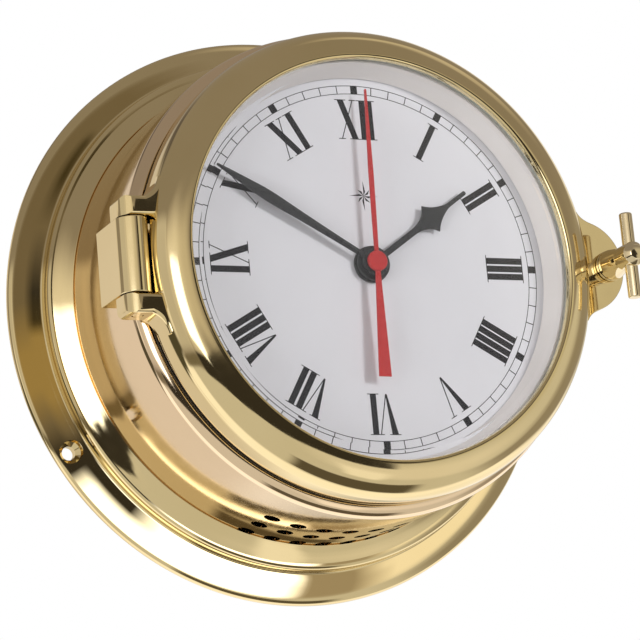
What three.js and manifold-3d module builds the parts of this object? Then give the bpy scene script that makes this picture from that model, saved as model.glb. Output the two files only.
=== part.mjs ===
// A brass ship's clock: a round case on a wall flange, with a hinged glazed door that a T-screw clamps shut.
// Millimetres. The origin is the centre of the back, where the clock meets the wall. +Z is 12 o'clock,
// +X is 3 o'clock, and the dial faces -Y. A depth is a distance from the wall, so it is drawn at -Y.

import * as THREE from 'three';
import { mergeVertices } from 'three/addons/utils/BufferGeometryUtils.js';
import Module from 'manifold-3d';

const wasm = await Module();
wasm.setup();

// Clearances
const fit = 0.3;                  // between pieces that sit in or on each other
const over = 1;                   // how far a cutting tool runs past the face that it cuts
const join = 0.02;                // how far two joined shapes reach into each other

// Steps round a full circle
const ringSteps = 40;
const hiddenSteps = 28;
const roundSteps = 18;
const boltSteps = 8;

// Dial, from which the door and the case take their radii
const dialRadius = 59.3;
const dialThickness = 0.8;
const dialProud = 2.5;            // how far the dial's face stands in front of the door's back
const dialFeet = 2;
const dialFootRadius = 1.2;
const dialFootInset = 9.3;
const dialFootNut = 1.6;          // height of the nuts on the dial's feet

// White ring inside the door
const sightGap = 1;               // between the dial's edge and the ring's skirt
const sightWall = 1.2;
const sightFlangeWidth = 3.5;
const sightFlange = 1;
const sightCover = 2.3;           // how far the ring covers the dial's edge
const sightLip = 0.8;
const sightScrews = 3;
const sightScrewLength = 5;

// Glass
const glassThickness = 2.4;
const glassSeat = 1.9;            // how far the door's lip covers the glass
const glassBevel = 4.5;
const glassBevelDepth = 1;
const glassRoom = 1.8;            // between the second hand's cap and the glass
const gasketThickness = 0.8;

// Door ring
const doorWall = 8.7;             // from the glass's seat to the outside
const doorLip = 1.8;              // from the glass to the door's front
const doorEdge = 0.5;
const plateThick = 9.5;           // of the lugs and the ear

// Seal between the case and the door
const sealThickness = 1.9;
const sealWidth = 3;
const sealInset = 0.9;            // from the door's outside

// Drum
const drumStep = 3;               // how far the drum stands outside the door
const drumWall = 1.8;
const drumFront = 59;             // depth of the front lip
const drumCorner = 3.5;           // radius of the rolled front corner
const lipWidth = 7.5;
const soundRows = 3;
const soundColumns = 7;
const soundHoleRadius = 2.5;
const soundFirstRow = 16.2;       // depth of the first row
const soundRowPitch = 9.65;
const soundColumnPitch = 6.6;     // degrees

// Wall flange
const flangeWidth = 16.2;         // from its bore to its rim
const flangeRim = 4.4;            // height of the rolled rim above the wall
const rimRadius = 1.6;
const flangeDish = 3.5;           // height of the face just inside the rim
const raisedWidth = 7.8;          // width of the raised ring at its foot
const raisedFoot = 6;             // height of the face where the raised ring starts
const raisedHeight = 15;
const wallHoles = 3;
const wallHoleInset = 4.4;        // from the rim to the middle of each wall screw's hole
const wallHoleRadius = 2.1;
const countersink = 1.3;          // its depth, and how far it widens the hole

// Back plate
const plateThickness = 1.5;
const plateRebate = 5;            // how far the plate's seat reaches past the flange's bore
const plateScrews = 3;
const plateScrewLength = 9;

// Small slotted screws
const shankRadius = 0.9;
const headRadius = 1.6;
const headHeight = 0.9;
const slotWidth = 0.5;

// Hinge
const hingeOut = 0.9;             // from the drum's outside to the pin
const hingeForward = 4.7;         // from the door's back to the pin
const pinRadius = 1.6;
const knuckleRadius = 4.8;
const knuckleHeight = 22;
const knuckleNotch = 0.5;         // room that the door ring leaves round the knuckle
const leafBack = 51;
const leafScrewInset = 4;         // from the knuckle's end to each screw of the leaf
const lugHeight = 5.7;
const lugReach = 4.2;             // from the pin to the lug's outer end
const lugRound = 2.2;
const lugSweep = 6;               // radius of the sweep from the lug into the door ring

// Ear of the door, and the lug behind it that takes the clamp screw
const earRadius = 14.2;
const earTip = 5;                 // from the clamp screw's axis to the ear's tip
const earSweep = 2.8;
const latchHalf = 5;
const latchBack = 50.5;
const latchWeb = 0.45;            // between the drum and the hole for the tip

// Clamp screw
const tipRadius = 2.2;
const tipPlay = 0.55;             // room round the tip, which leaves its hole on the door's arc
const tipLength = 5.4;            // how far the tip stands behind the door
const neckRadius = 1.6;
const earPlay = 0.4;              // room round the tip in the ear's hole
const washerThickness = 0.8;
const washerRadius = 4.7;
const collarRadius = 4.6;
const collarHeight = 1.2;
const coneRadius = 3.4;           // of the narrow end of the cone, at the boss
const bossRadius = 3.7;
const bossLength = 6.4;
const bossDome = 1.2;
const barRadius = 1.95;
const barLength = 26;
const barStandOff = 12.5;         // from the ear's face to the bar's axis

// Dial carrier
const carrierWindow = 42;
const carrierWall = 1.5;
const carrierScrews = 3;

// Movement case
const moveHalf = 28;              // half its width and height
const moveGap = 2.2;              // between its front and the dial
const moveDepth = 17.5;
const moveWall = 1.5;
const moveFrontWall = 1.2;
const moveLid = 1.2;
const moveCorner = 3;
const padWidth = 3.2;             // of the rubber pad between the movement and the dial

// Centre stack: pipes in pipes, named by their walls from the middle outwards
const secondArbor = 0.7;
const minutePipe = 0.7;
const hourPipe = 0.8;
const bushWall = 0.8;
const bushFlange = 2.1;
const bushFlangeThickness = 0.6;
const nutWidth = 1.3;
const nutHeight = 1.1;

// Hands
const handThickness = 0.5;
const hubProud = 0.3;
const handGap = 0.5;              // between the hands, and between the hour hand and the nut
const secondCap = 0.9;
const hourHubRadius = 5.2;
const minuteHubRadius = 4.1;
const secondHubRadius = 3.07;
const hourReach = 39.6;
const hourSpadeStart = 19;
const hourSpadeAt = 24.7;
const hourSpadeEnd = 32;
const hourStem = 0.95;            // half widths, here and below
const hourSpade = 4.6;
const hourNeck = 0.6;
const hourTip = 0.45;
const minuteReach = 54.5;
const minuteBellyAt = 37;
const minuteStem = 0.95;
const minuteBelly = 1.7;
const minuteTip = 0.35;
const secondReach = 52.5;
const secondBellyAt = 27;
const secondTail = 34.4;
const secondStem = 0.55;
const secondBelly = 0.75;
const secondTip = 0.3;
const tailHalf = 1.95;
const minuteAngle = 300.5;        // degrees clockwise from 12
const secondAngle = 1.5;

// Wheels
const tipGap = 0.15;              // how far each tooth stays inside its pitch circle
const toothDepth = 0.45;
const wheelThickness = 0.8;
const layerGap = 0.4;
const arborRadius = 0.6;
const arborPlateThickness = 0.8;
const hourTeeth = 24;
const minuteTeeth = 24;
const minutePinionTeeth = 6;
const cannonTeeth = 8;
const centreTeeth = 48;
const thirdTeeth = 45;
const thirdPinionTeeth = 6;
const secondTeeth = 30;
const secondPinionTeeth = 6;
const fifthTeeth = 36;
const fifthPinionTeeth = 6;
const rotorTeeth = 6;
const knobZ = 12;                 // the setting shaft, which carries the minute wheel
const thirdX = 8.8;
const fifthX = -7.8;
const fifthZ = 4.5;
const rotorX = -11.8;
const rotorZ = 11.4;
const magnetRadius = 2.8;
const magnetLength = 2.2;

// Setting knob
const knobShaft = 1.3;
const knobRadius = 6;
const knobHeight = 3.4;
const knobTeeth = 18;
const knobGap = 0.8;              // between the knob and the movement's cover

// Electric pieces
const batteryRadius = 7.1;
const capRadius = 2.7;
const capLength = 1.1;
const contactThickness = 0.5;
const contactHalf = 5;
const springLength = 2;
const springRadius = 3;
const coilFlangeWidth = 0.5;      // how far the coil's flanges stand out past its winding
const coilLength = 20;
const coilX = -1;
const coilFlange = 0.9;
const statorLeg = 3.2;
const statorThickness = 0.8;
const poleHalf = 5.2;             // half the width of the block round the rotor
const boardHeight = 16;
const boardThickness = 1;

// Radii that follow from the dial
const skirtRadius = dialRadius + sightGap;
const glassRadius = skirtRadius + sightWall;
const seatRadius = glassRadius + fit;
const lipRadius = seatRadius - glassSeat;
const sightFlangeRadius = glassRadius + sightFlangeWidth;
const doorRadius = seatRadius + doorWall;
const drumRadius = doorRadius + drumStep;
const lipInner = drumRadius - lipWidth;
const boreRadius = drumRadius + fit;
const flangeRadius = boreRadius + flangeWidth;
const plateRadius = boreRadius + plateRebate - fit;
const plateScrewCircle = (boreRadius + plateRadius) / 2;
const wallHoleCircle = flangeRadius - wallHoleInset;
const dialFootCircle = dialRadius - dialFootInset;
const sightScrewCircle = (seatRadius + sightFlangeRadius) / 2;
const carrierFlangeRadius = drumRadius - drumCorner - 2 * fit;
const carrierScrewCircle = (lipInner + carrierFlangeRadius) / 2;

// Depths that follow from the drum's front
const doorBack = drumFront + sealThickness + 2 * fit;
const dialFace = doorBack + dialProud;
const dialBack = dialFace - dialThickness;
const carrierFront = dialBack - fit;
const carrierFlangeFront = drumFront - drumWall - fit;
const moveFront = dialBack - moveGap;
const moveBack = moveFront - moveDepth;
const nutFront = dialFace + fit + nutHeight;
const hourHandBack = nutFront + handGap;
const minuteHandBack = hourHandBack + handThickness + hubProud + handGap;
const secondHandBack = minuteHandBack + handThickness + hubProud + handGap;
const secondHandTop = secondHandBack + handThickness + secondCap;
const glassBack = secondHandTop + glassRoom;
const glassFront = glassBack + glassThickness;
const doorFront = glassFront + fit + doorLip;
const plateFront = doorBack + plateThick;

// Axes of the hinge and of the clamp
const hingeX = -drumRadius - hingeOut;
const hingeDepth = doorBack + hingeForward;
const pinHalf = knuckleHeight / 2 + fit + lugHeight;
const latchHoleRadius = tipRadius + tipPlay;
const clampX = boreRadius + latchWeb + latchHoleRadius;
const earReach = clampX + earTip;

// Pipes of the centre stack
const minuteInner = secondArbor + fit;
const minuteOuter = minuteInner + minutePipe;
const hourInner = minuteOuter + fit;
const hourOuter = hourInner + hourPipe;
const bushInner = hourOuter + fit;
const bushOuter = bushInner + bushWall;

// Depths of the wheels, from the front of the movement backwards
const roomFront = moveFront - moveFrontWall;
const hourLayer = roomFront - layerGap;
const layerStep = wheelThickness + layerGap;
const minuteLayer = hourLayer - layerStep;
const middlePlateFront = minuteLayer - layerStep;
const middlePlateBack = middlePlateFront - arborPlateThickness;
const centreLayer = middlePlateBack - layerGap;
const thirdLayer = centreLayer - layerStep;
const secondLayer = thirdLayer - layerStep;
const fifthLayer = secondLayer - layerStep;
const bridgeFront = fifthLayer - layerStep;
const bridgeBack = bridgeFront - arborPlateThickness;

// Room inside the movement
const roomHalf = moveHalf - moveWall;
const plateHalf = roomHalf - fit;
const batteryZ = -plateHalf + batteryRadius;
const batteryDepth = (roomFront + moveBack + moveLid) / 2;
const plateLow = batteryZ + batteryRadius + fit;
const coilFlangeRadius = (middlePlateBack - bridgeFront) / 2 - fit;
const coilDepth = (middlePlateBack + bridgeFront) / 2;
const coilZ = plateHalf - coilFlangeRadius;
const statorFront = coilDepth + statorThickness + fit;
const coilEnd = coilLength / 2 + coilFlange;
const statorLeft = coilX - coilEnd - fit;
const statorRight = coilX + coilEnd + fit;

// Materials
function finish(color, roughness, metalness) {
  return new THREE.MeshStandardMaterial({ color, roughness, metalness });
}

const brass = finish(0xd9bd7c, 0.12, 1);
const steel = finish(0xb9bcc0, 0.3, 1);
const whitePaint = finish(0xd8d5d0, 0.5, 0);
const enamel = finish(0xdcdce2, 0.4, 0);
const blackPaint = finish(0x3a3a3c, 0.45, 0);
const redPaint = finish(0xc24a4a, 0.45, 0);
const clearGlass = finish(0xeef4f4, 0.02, 0);
const rubber = finish(0x1c1c1c, 0.8, 0);
const blackPlastic = finish(0x232325, 0.5, 0);
const whitePlastic = finish(0xe6e4de, 0.5, 0);
const copper = finish(0xb06a3b, 0.35, 1);
const laminate = finish(0x3c6b45, 0.6, 0);
const batterySleeve = finish(0x5f6a78, 0.45, 0.2);
clearGlass.transparent = true;
clearGlass.opacity = 0.3;

const clock = new THREE.Group();
clock.name = 'ships_clock';

// Solids and meshes

// Turns a closed three.js geometry into a solid, with its shared corners merged and its faces pointing out.
function toSolid(geometry) {
  const bare = geometry.clone();
  bare.deleteAttribute('normal');
  bare.deleteAttribute('uv');
  const merged = mergeVertices(bare, 1e-4);
  const index = merged.index.array;
  const position = merged.attributes.position;
  const corners = [new THREE.Vector3(), new THREE.Vector3(), new THREE.Vector3()];
  const kept = [];
  let volume = 0;
  for (let i = 0; i < index.length; i += 3) {
    const face = [index[i], index[i + 1], index[i + 2]];
    if (new Set(face).size < 3) continue;
    kept.push(...face);
    face.forEach((vertex, k) => corners[k].fromBufferAttribute(position, vertex));
    volume += corners[0].dot(corners[1].clone().cross(corners[2]));
  }
  if (volume < 0) {
    for (let i = 0; i < kept.length; i += 3) {
      [kept[i + 1], kept[i + 2]] = [kept[i + 2], kept[i + 1]];
    }
  }
  return new wasm.Manifold(new wasm.Mesh({
    numProp: 3,
    vertProperties: new Float32Array(position.array),
    triVerts: new Uint32Array(kept),
  }));
}

function toGeometry(solid) {
  const { vertProperties, triVerts } = solid.getMesh();
  const geometry = new THREE.BufferGeometry();
  geometry.setAttribute('position', new THREE.BufferAttribute(new Float32Array(vertProperties), 3));
  geometry.setIndex(new THREE.BufferAttribute(new Uint32Array(triVerts), 1));
  geometry.computeVertexNormals();
  return geometry;
}

// Adds one named piece to the clock, at a place on its face.
function piece(name, solid, material, { x = 0, z = 0 } = {}) {
  const mesh = new THREE.Mesh(toGeometry(solid), material);
  mesh.name = name;
  mesh.position.set(x, 0, z);
  clock.add(mesh);
  return mesh;
}

function radians(degrees) {
  return THREE.MathUtils.degToRad(degrees);
}

// Places spaced evenly on a circle round the clock's axis; the first is at an angle clockwise from 12.
function around(count, radius, first = 0) {
  const places = [];
  for (let i = 0; i < count; i += 1) {
    const angle = radians(first + (360 * i) / count);
    places.push({ x: radius * Math.sin(angle), z: radius * Math.cos(angle) });
  }
  return places;
}

// Points of an arc in a profile, with angles in degrees.
function arc(x, y, radius, from, to, steps) {
  const points = [];
  for (let i = 0; i <= steps; i += 1) {
    const angle = radians(from + ((to - from) * i) / steps);
    points.push([x + radius * Math.cos(angle), y + radius * Math.sin(angle)]);
  }
  return points;
}

// A solid turned round the Y axis from [radius, depth] pairs, closed on itself or on the axis.
function turned(profile, steps = ringSteps) {
  const points = profile.map(([radius, depth]) => new THREE.Vector2(radius, -depth));
  const onAxis = points[0].x === 0 && points[points.length - 1].x === 0;
  if (!onAxis) points.push(points[0].clone());
  return toSolid(new THREE.LatheGeometry(points, steps));
}

// A ring or disc between two radii, and from one depth forward to another.
function ring(inner, outer, back, front, steps = ringSteps) {
  return turned([[inner, back], [outer, back], [outer, front], [inner, front]], steps);
}

// A piece cut to a shape in X and Z, from one depth forward to another.
function slab(shape, back, front, curveSteps = 8) {
  const settings = { depth: front - back, bevelEnabled: false, curveSegments: curveSteps };
  const geometry = new THREE.ExtrudeGeometry(shape, settings);
  geometry.rotateX(Math.PI / 2);
  geometry.translate(0, -back, 0);
  return toSolid(geometry);
}

// A piece cut to a shape in X and Y, and drawn out along Z by the same length above and below the middle.
function column(shape, height, curveSteps = 8) {
  const settings = { depth: height, bevelEnabled: false, curveSegments: curveSteps };
  const geometry = new THREE.ExtrudeGeometry(shape, settings);
  geometry.translate(0, 0, -height / 2);
  return toSolid(geometry);
}

function box(low, high) {
  const size = high.map((value, i) => value - low[i]);
  const geometry = new THREE.BoxGeometry(...size);
  geometry.translate(...low.map((value, i) => value + size[i] / 2));
  return toSolid(geometry);
}

// Round bars along Y, Z and X.
function pegY(radius, { x = 0, z = 0 }, back, front, steps = boltSteps) {
  return ring(0, radius, back, front, steps).translate([x, 0, z]);
}

function pegZ(radius, { x = 0, depth }, low, high, steps = boltSteps) {
  const geometry = new THREE.CylinderGeometry(radius, radius, high - low, steps);
  geometry.rotateX(Math.PI / 2);
  geometry.translate(x, -depth, (low + high) / 2);
  return toSolid(geometry);
}

function pegX(radius, { depth, z = 0 }, low, high, steps = boltSteps) {
  const geometry = new THREE.CylinderGeometry(radius, radius, high - low, steps);
  geometry.rotateZ(Math.PI / 2);
  geometry.translate((low + high) / 2, -depth, z);
  return toSolid(geometry);
}

// A hole for a small screw, through a piece that lies between two depths.
function screwHole(place, back, front) {
  return pegY(shankRadius + fit, place, back - over, front + over);
}

function screwSlot() {
  return box([-headRadius, -headHeight / 2, -slotWidth / 2], [headRadius, over, slotWidth / 2]);
}

// A slotted screw whose head's top is at depth 0 and whose shank runs forward.
function slottedScrew(length) {
  const end = headHeight + length;
  const edge = slotWidth / 2;
  const body = turned([
    [0, 0], [headRadius - edge, 0], [headRadius, edge], [headRadius, headHeight],
    [shankRadius, headHeight], [shankRadius, end], [0, end],
  ], boltSteps);
  return body.subtract(screwSlot());
}

// Wall flange, drum and back plate

function flangeProfile() {
  const foot = boreRadius + raisedWidth;
  const recess = plateThickness + fit;
  const outerRound = 3;
  const innerRound = 1.8;
  const draft = 0.9;
  return [
    [boreRadius, recess],
    [boreRadius + plateRebate, recess],
    [boreRadius + plateRebate, 0],
    [flangeRadius - draft, 0],
    [flangeRadius, draft],
    ...arc(flangeRadius - rimRadius, flangeRim - rimRadius, rimRadius, 0, 135, 4),
    [flangeRadius - 2.4 * rimRadius, flangeDish],
    [foot, raisedFoot],
    [foot - draft, raisedFoot + draft],
    ...arc(foot - draft - outerRound, raisedHeight - outerRound, outerRound, 0, 90, 3),
    ...arc(boreRadius + innerRound, raisedHeight - innerRound, innerRound, 90, 180, 2),
  ];
}

function wallScrewHole() {
  const face = flangeDish + fit;
  const wide = wallHoleRadius + countersink;
  return turned([
    [0, -over], [wallHoleRadius, -over], [wallHoleRadius, face - countersink],
    [wide, face], [wide, raisedHeight], [0, raisedHeight],
  ], 16);
}

function wallFlange() {
  let solid = turned(flangeProfile());
  for (const { x, z } of around(wallHoles, wallHoleCircle)) {
    solid = solid.subtract(wallScrewHole().translate([x, 0, z]));
  }
  for (const place of around(plateScrews, plateScrewCircle, 60)) {
    solid = solid.subtract(screwHole(place, 0, plateScrewLength));
  }
  return solid;
}

function drumProfile() {
  const cornerX = drumRadius - drumCorner;
  const cornerDepth = drumFront - drumCorner;
  const back = plateThickness + 2 * fit;
  return [
    [drumRadius - drumWall, back],
    [drumRadius, back],
    ...arc(cornerX, cornerDepth, drumCorner, 0, 90, 4),
    [lipInner, drumFront],
    [lipInner, drumFront - drumWall],
    ...arc(cornerX, cornerDepth, drumCorner - drumWall, 90, 0, 2),
  ];
}

function soundHoles() {
  const tools = [];
  const first = 180 - (soundColumnPitch * (soundColumns - 1)) / 2;
  for (let row = 0; row < soundRows; row += 1) {
    const depth = soundFirstRow + row * soundRowPitch;
    for (let col = 0; col < soundColumns; col += 1) {
      const tool = pegZ(soundHoleRadius, { depth }, drumRadius - drumWall - over, drumRadius + over, 10);
      tools.push(tool.rotate([0, first + col * soundColumnPitch, 0]));
    }
  }
  return tools;
}

// Screws through the drum from inside: two hold the hinge block and one the latch lug.
const latchHoleBack = doorBack - tipLength - over;
const leafScrews = [-1, 1].map((side) => ({
  name: side < 0 ? 'hinge_block_screw_1' : 'hinge_block_screw_2',
  direction: -1,
  depth: (leafBack + drumFront - drumCorner) / 2,
  z: side * (knuckleHeight / 2 - leafScrewInset),
  end: -hingeX + knuckleRadius - over,
}));
const latchScrew = {
  name: 'latch_lug_screw',
  direction: 1,
  depth: (latchBack + latchHoleBack) / 2,
  z: 0,
  end: clampX,
};

function drumScrewHole(screw) {
  const near = screw.direction * (drumRadius - 2 * drumWall);
  const far = screw.direction * screw.end;
  return pegX(shankRadius + fit, screw, Math.min(near, far), Math.max(near, far));
}

function drum() {
  let solid = turned(drumProfile());
  for (const tool of soundHoles()) solid = solid.subtract(tool);
  for (const screw of [...leafScrews, latchScrew]) solid = solid.subtract(drumScrewHole(screw));
  for (const place of around(carrierScrews, carrierScrewCircle, 60)) {
    solid = solid.subtract(screwHole(place, drumFront - drumWall, drumFront));
  }
  return solid;
}

// The cone that the plate's countersinks and their screws share.
function plateScrewCone(gap, front) {
  return turned([
    [0, 0], [shankRadius + plateThickness + gap, 0], [shankRadius + gap, plateThickness],
    [shankRadius + gap, front], [0, front],
  ], boltSteps);
}

function backPlate() {
  let solid = ring(0, plateRadius, 0, plateThickness);
  for (const { x, z } of around(plateScrews, plateScrewCircle, 60)) {
    const mouth = pegY(shankRadius + plateThickness + fit, {}, -over, join);
    solid = solid.subtract(plateScrewCone(fit, plateThickness + over).add(mouth).translate([x, 0, z]));
  }
  return solid;
}

function buildCase() {
  piece('base_flange', wallFlange(), brass);
  piece('case_drum', drum(), brass);
  piece('back_plate', backPlate(), brass);
  around(plateScrews, plateScrewCircle, 60).forEach((place, i) => {
    const screw = plateScrewCone(0, plateScrewLength).subtract(screwSlot());
    piece(`back_plate_screw_${i + 1}`, screw, steel, place);
  });
  const sealOuter = doorRadius - sealInset;
  const seal = ring(sealOuter - sealWidth, sealOuter, drumFront + fit, doorBack - fit, hiddenSteps);
  piece('door_seal', seal, rubber);
}

// Hinge block: a flat-sided leaf against the drum that ends in the knuckle
function knuckleShape() {
  const outer = hingeX - knuckleRadius;
  const meet = Math.acos((-boreRadius - hingeX) / knuckleRadius);
  const shape = new THREE.Shape();
  shape.moveTo(outer, -leafBack);
  shape.lineTo(outer, -hingeDepth);
  shape.absarc(hingeX, -hingeDepth, knuckleRadius, Math.PI, 2 * Math.PI + meet, false);
  shape.lineTo(-boreRadius, -drumFront);
  shape.lineTo(-boreRadius + drumCorner, -leafBack);
  return shape;
}

function hingeBlock() {
  const axis = { x: hingeX, depth: hingeDepth };
  let solid = column(knuckleShape(), knuckleHeight, 18)
    .subtract(ring(0, boreRadius, 0, drumFront + fit))
    .subtract(pegZ(pinRadius + fit, axis, -knuckleHeight, knuckleHeight));
  for (const screw of leafScrews) solid = solid.subtract(drumScrewHole(screw));
  return solid;
}

function latchLug() {
  const front = doorBack - fit;
  const roundX = earReach - latchHalf;
  const shape = new THREE.Shape();
  shape.moveTo(drumRadius - latchHalf, -latchHalf);
  shape.lineTo(roundX, -latchHalf);
  shape.absarc(roundX, 0, latchHalf, -Math.PI / 2, Math.PI / 2, false);
  shape.lineTo(drumRadius - latchHalf, latchHalf);
  return slab(shape, latchBack, front)
    .subtract(ring(0, boreRadius, latchBack - over, front + over))
    .subtract(pegY(latchHoleRadius, { x: clampX }, latchHoleBack, front + over, roundSteps))
    .subtract(drumScrewHole(latchScrew));
}

function placeDrumScrew(screw) {
  const seat = Math.sqrt((drumRadius - drumWall) ** 2 - (Math.abs(screw.z) + headRadius) ** 2) - fit / 2;
  const mesh = piece(screw.name, slottedScrew(screw.end - fit - seat), brass);
  mesh.rotation.z = (screw.direction * Math.PI) / 2;
  mesh.position.set(screw.direction * (seat - headHeight), -screw.depth, screw.z);
}

function buildFittings() {
  piece('hinge_block', hingeBlock(), brass);
  piece('hinge_pin', pegZ(pinRadius, { x: hingeX, depth: hingeDepth }, -pinHalf, pinHalf), brass);
  piece('latch_lug', latchLug(), brass);
  for (const screw of [...leafScrews, latchScrew]) placeDrumScrew(screw);
}

// Door

// The moulding from the plain side to the front: [inside the outer radius, behind the front].
const moulding = [[0, 8], [1, 7.4], [0.6, 6], [0.6, 4.6], [1.3, 2.9], [2.9, 1.2], [5.1, 0.3], [7.3, 0.5]];
// The rolled lip: [outside the lip's radius, behind the front].
const roll = [[2, 0.6], [1, 0], [0.2, 0.2], [0, 0.8]];
const sightRecess = doorBack + sightFlange + 2 * fit;

function doorProfile() {
  const recessRadius = sightFlangeRadius + fit;
  return [
    [recessRadius, doorBack],
    [doorRadius - doorEdge, doorBack],
    [doorRadius, doorBack + doorEdge],
    ...moulding.map(([inset, behind]) => [doorRadius - inset, doorFront - behind]),
    ...roll.map(([out, behind]) => [lipRadius + out, doorFront - behind]),
    [lipRadius, glassFront + fit],
    [seatRadius, glassFront + fit],
    [seatRadius, sightRecess],
    [recessRadius, sightRecess],
  ];
}

// One hinge lug from the front: square to the knuckle, and swept into the ring on its other side.
function lugShape(side) {
  const end = hingeX - lugReach;
  const near = knuckleHeight / 2 + fit;
  const far = near + lugHeight;
  const rootZ = far + lugSweep;
  const rootX = -Math.sqrt(doorRadius ** 2 - rootZ ** 2);
  const shape = new THREE.Shape();
  shape.moveTo(-seatRadius, side * near);
  shape.lineTo(end, side * near);
  shape.lineTo(end, side * (far - lugRound));
  shape.quadraticCurveTo(end, side * far, end + lugRound, side * far);
  shape.lineTo(rootX - 0.8 * lugSweep, side * far);
  shape.quadraticCurveTo(rootX - 0.2 * lugSweep, side * (far + 0.2 * lugSweep), rootX, side * rootZ);
  shape.lineTo(-seatRadius, side * rootZ);
  return shape;
}

// The lugs from above: square at the back, and eased at the front of the outer end.
function lugPlan() {
  const end = hingeX - lugReach;
  const inner = -seatRadius + over;
  const shape = new THREE.Shape();
  shape.moveTo(inner, -doorBack);
  shape.lineTo(end + doorEdge, -doorBack);
  shape.lineTo(end, -doorBack - doorEdge);
  shape.lineTo(end, -plateFront + lugRound);
  shape.quadraticCurveTo(end, -plateFront, end + lugRound, -plateFront);
  shape.lineTo(inner, -plateFront);
  return shape;
}

function hingeLug(side) {
  return slab(lugShape(side), doorBack, plateFront).intersect(column(lugPlan(), 2 * doorRadius));
}

// The ear: a round lobe with a small sweep into the ring above and below.
function earShape() {
  const centre = earReach - earRadius;
  const lobeEnd = radians(72);
  const lobeX = centre + earRadius * Math.cos(lobeEnd);
  const lobeZ = earRadius * Math.sin(lobeEnd);
  const rootZ = earRadius + earSweep;
  const rootX = Math.sqrt((doorRadius - doorEdge) ** 2 - rootZ ** 2);
  const bendX = rootX + earSweep / 3;
  const bendZ = earRadius + earSweep / 5;
  const shape = new THREE.Shape();
  shape.moveTo(seatRadius, -rootZ);
  shape.lineTo(rootX, -rootZ);
  shape.quadraticCurveTo(bendX, -bendZ, lobeX, -lobeZ);
  shape.absarc(centre, 0, earRadius, -lobeEnd, lobeEnd, false);
  shape.quadraticCurveTo(bendX, bendZ, rootX, rootZ);
  shape.lineTo(seatRadius, rootZ);
  return shape;
}

function door() {
  const axis = { x: hingeX, depth: hingeDepth };
  const near = knuckleHeight / 2 + fit;
  const hollow = ring(0, seatRadius + over, doorBack - over, doorFront + over)
    .add(ring(0, sightFlangeRadius + fit, doorBack - over, sightRecess));
  let solid = turned(doorProfile());
  for (const tab of [hingeLug(1), hingeLug(-1), slab(earShape(), doorBack, plateFront, 10)]) {
    solid = solid.add(tab.subtract(hollow));
  }
  solid = solid
    .subtract(pegZ(knuckleRadius + knuckleNotch, axis, -near, near, roundSteps))
    .subtract(pegZ(pinRadius + fit, axis, -pinHalf - fit / 2, pinHalf + fit / 2))
    .subtract(pegY(tipRadius + earPlay, { x: clampX }, doorBack - over, plateFront + over, roundSteps));
  for (const place of around(sightScrews, sightScrewCircle, 30)) {
    solid = solid.subtract(screwHole(place, doorBack, doorBack + sightScrewLength));
  }
  return solid;
}

function glassPane() {
  return turned([
    [0, glassBack], [glassRadius, glassBack], [glassRadius, glassFront - glassBevelDepth],
    [glassRadius - glassBevel, glassFront], [0, glassFront],
  ]);
}

// The white ring presses the glass against the door's lip and hides the dial's edge.
function sightRing() {
  const front = glassBack - gasketThickness - 2 * fit;
  const back = doorBack + fit;
  const lipBack = dialFace + fit;
  const mouth = dialRadius - sightCover;
  let solid = turned([
    [mouth, lipBack], [mouth + sightLip, lipBack], [mouth + sightLip, lipBack + sightLip],
    [skirtRadius, lipBack + sightLip], [skirtRadius, back],
    [sightFlangeRadius, back], [sightFlangeRadius, back + sightFlange],
    [glassRadius, back + sightFlange], [glassRadius, front], [dialRadius, front],
  ]);
  for (const place of around(sightScrews, sightScrewCircle, 30)) {
    solid = solid.subtract(screwHole(place, back, back + sightFlange));
  }
  return solid;
}

function buildDoor() {
  const gasketFront = glassBack - fit;
  const gasket = ring(skirtRadius, glassRadius, gasketFront - gasketThickness, gasketFront, hiddenSteps);
  piece('bezel', door(), brass);
  piece('glass', glassPane(), clearGlass);
  piece('glass_gasket', gasket, rubber);
  piece('glass_ring', sightRing(), whitePaint);
  around(sightScrews, sightScrewCircle, 30).forEach((place, i) => {
    const screw = piece(`glass_ring_screw_${i + 1}`, slottedScrew(sightScrewLength), steel, place);
    screw.position.y = -doorBack + headHeight;
  });
}

// Clamp screw: its tip stands in the latch lug, its neck in the ear, and a bar through its boss turns it
const washerFront = plateFront + fit + washerThickness;
const barDepth = plateFront + barStandOff;

function clampProfile() {
  const neckBack = doorBack + fit;
  const tipBack = doorBack - tipLength;
  const collarBack = washerFront + fit;
  const bossBack = barDepth - bossLength / 2;
  const bossFront = barDepth + bossLength / 2;
  const chamfer = tipRadius - neckRadius;
  return [
    [0, tipBack], [neckRadius, tipBack], [tipRadius, tipBack + chamfer], [tipRadius, neckBack],
    [neckRadius, neckBack + chamfer], [neckRadius, collarBack],
    [collarRadius, collarBack], [collarRadius, collarBack + collarHeight],
    [coneRadius, bossBack - chamfer], [bossRadius, bossBack],
    [bossRadius, bossFront], [bossRadius * 0.7, bossFront + bossDome * 0.7], [0, bossFront + bossDome],
  ];
}

function clampBar() {
  const half = barLength / 2;
  const edge = 0.4;
  return turned([
    [0, -half], [barRadius - edge, -half], [barRadius, -half + edge],
    [barRadius, half - edge], [barRadius - edge, half], [0, half],
  ], boltSteps).rotate([90, 0, 0]).translate([0, -barDepth, 0]);
}

function buildClamp() {
  const place = { x: clampX };
  const barHole = pegZ(barRadius + fit, { depth: barDepth }, -2 * bossRadius, 2 * bossRadius);
  const washer = ring(neckRadius + fit, washerRadius, plateFront + fit, washerFront, roundSteps);
  piece('clamp_screw', turned(clampProfile(), roundSteps).subtract(barHole), brass, place);
  piece('clamp_bar', clampBar(), brass, place);
  piece('clamp_washer', washer, brass, place);
}

// Dial, and the carrier that holds it in front of the drum's lip
const footNutFront = carrierFront - carrierWall - fit;
const footNutBack = footNutFront - dialFootNut;
const carrierBack = carrierFlangeFront - carrierWall;

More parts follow.
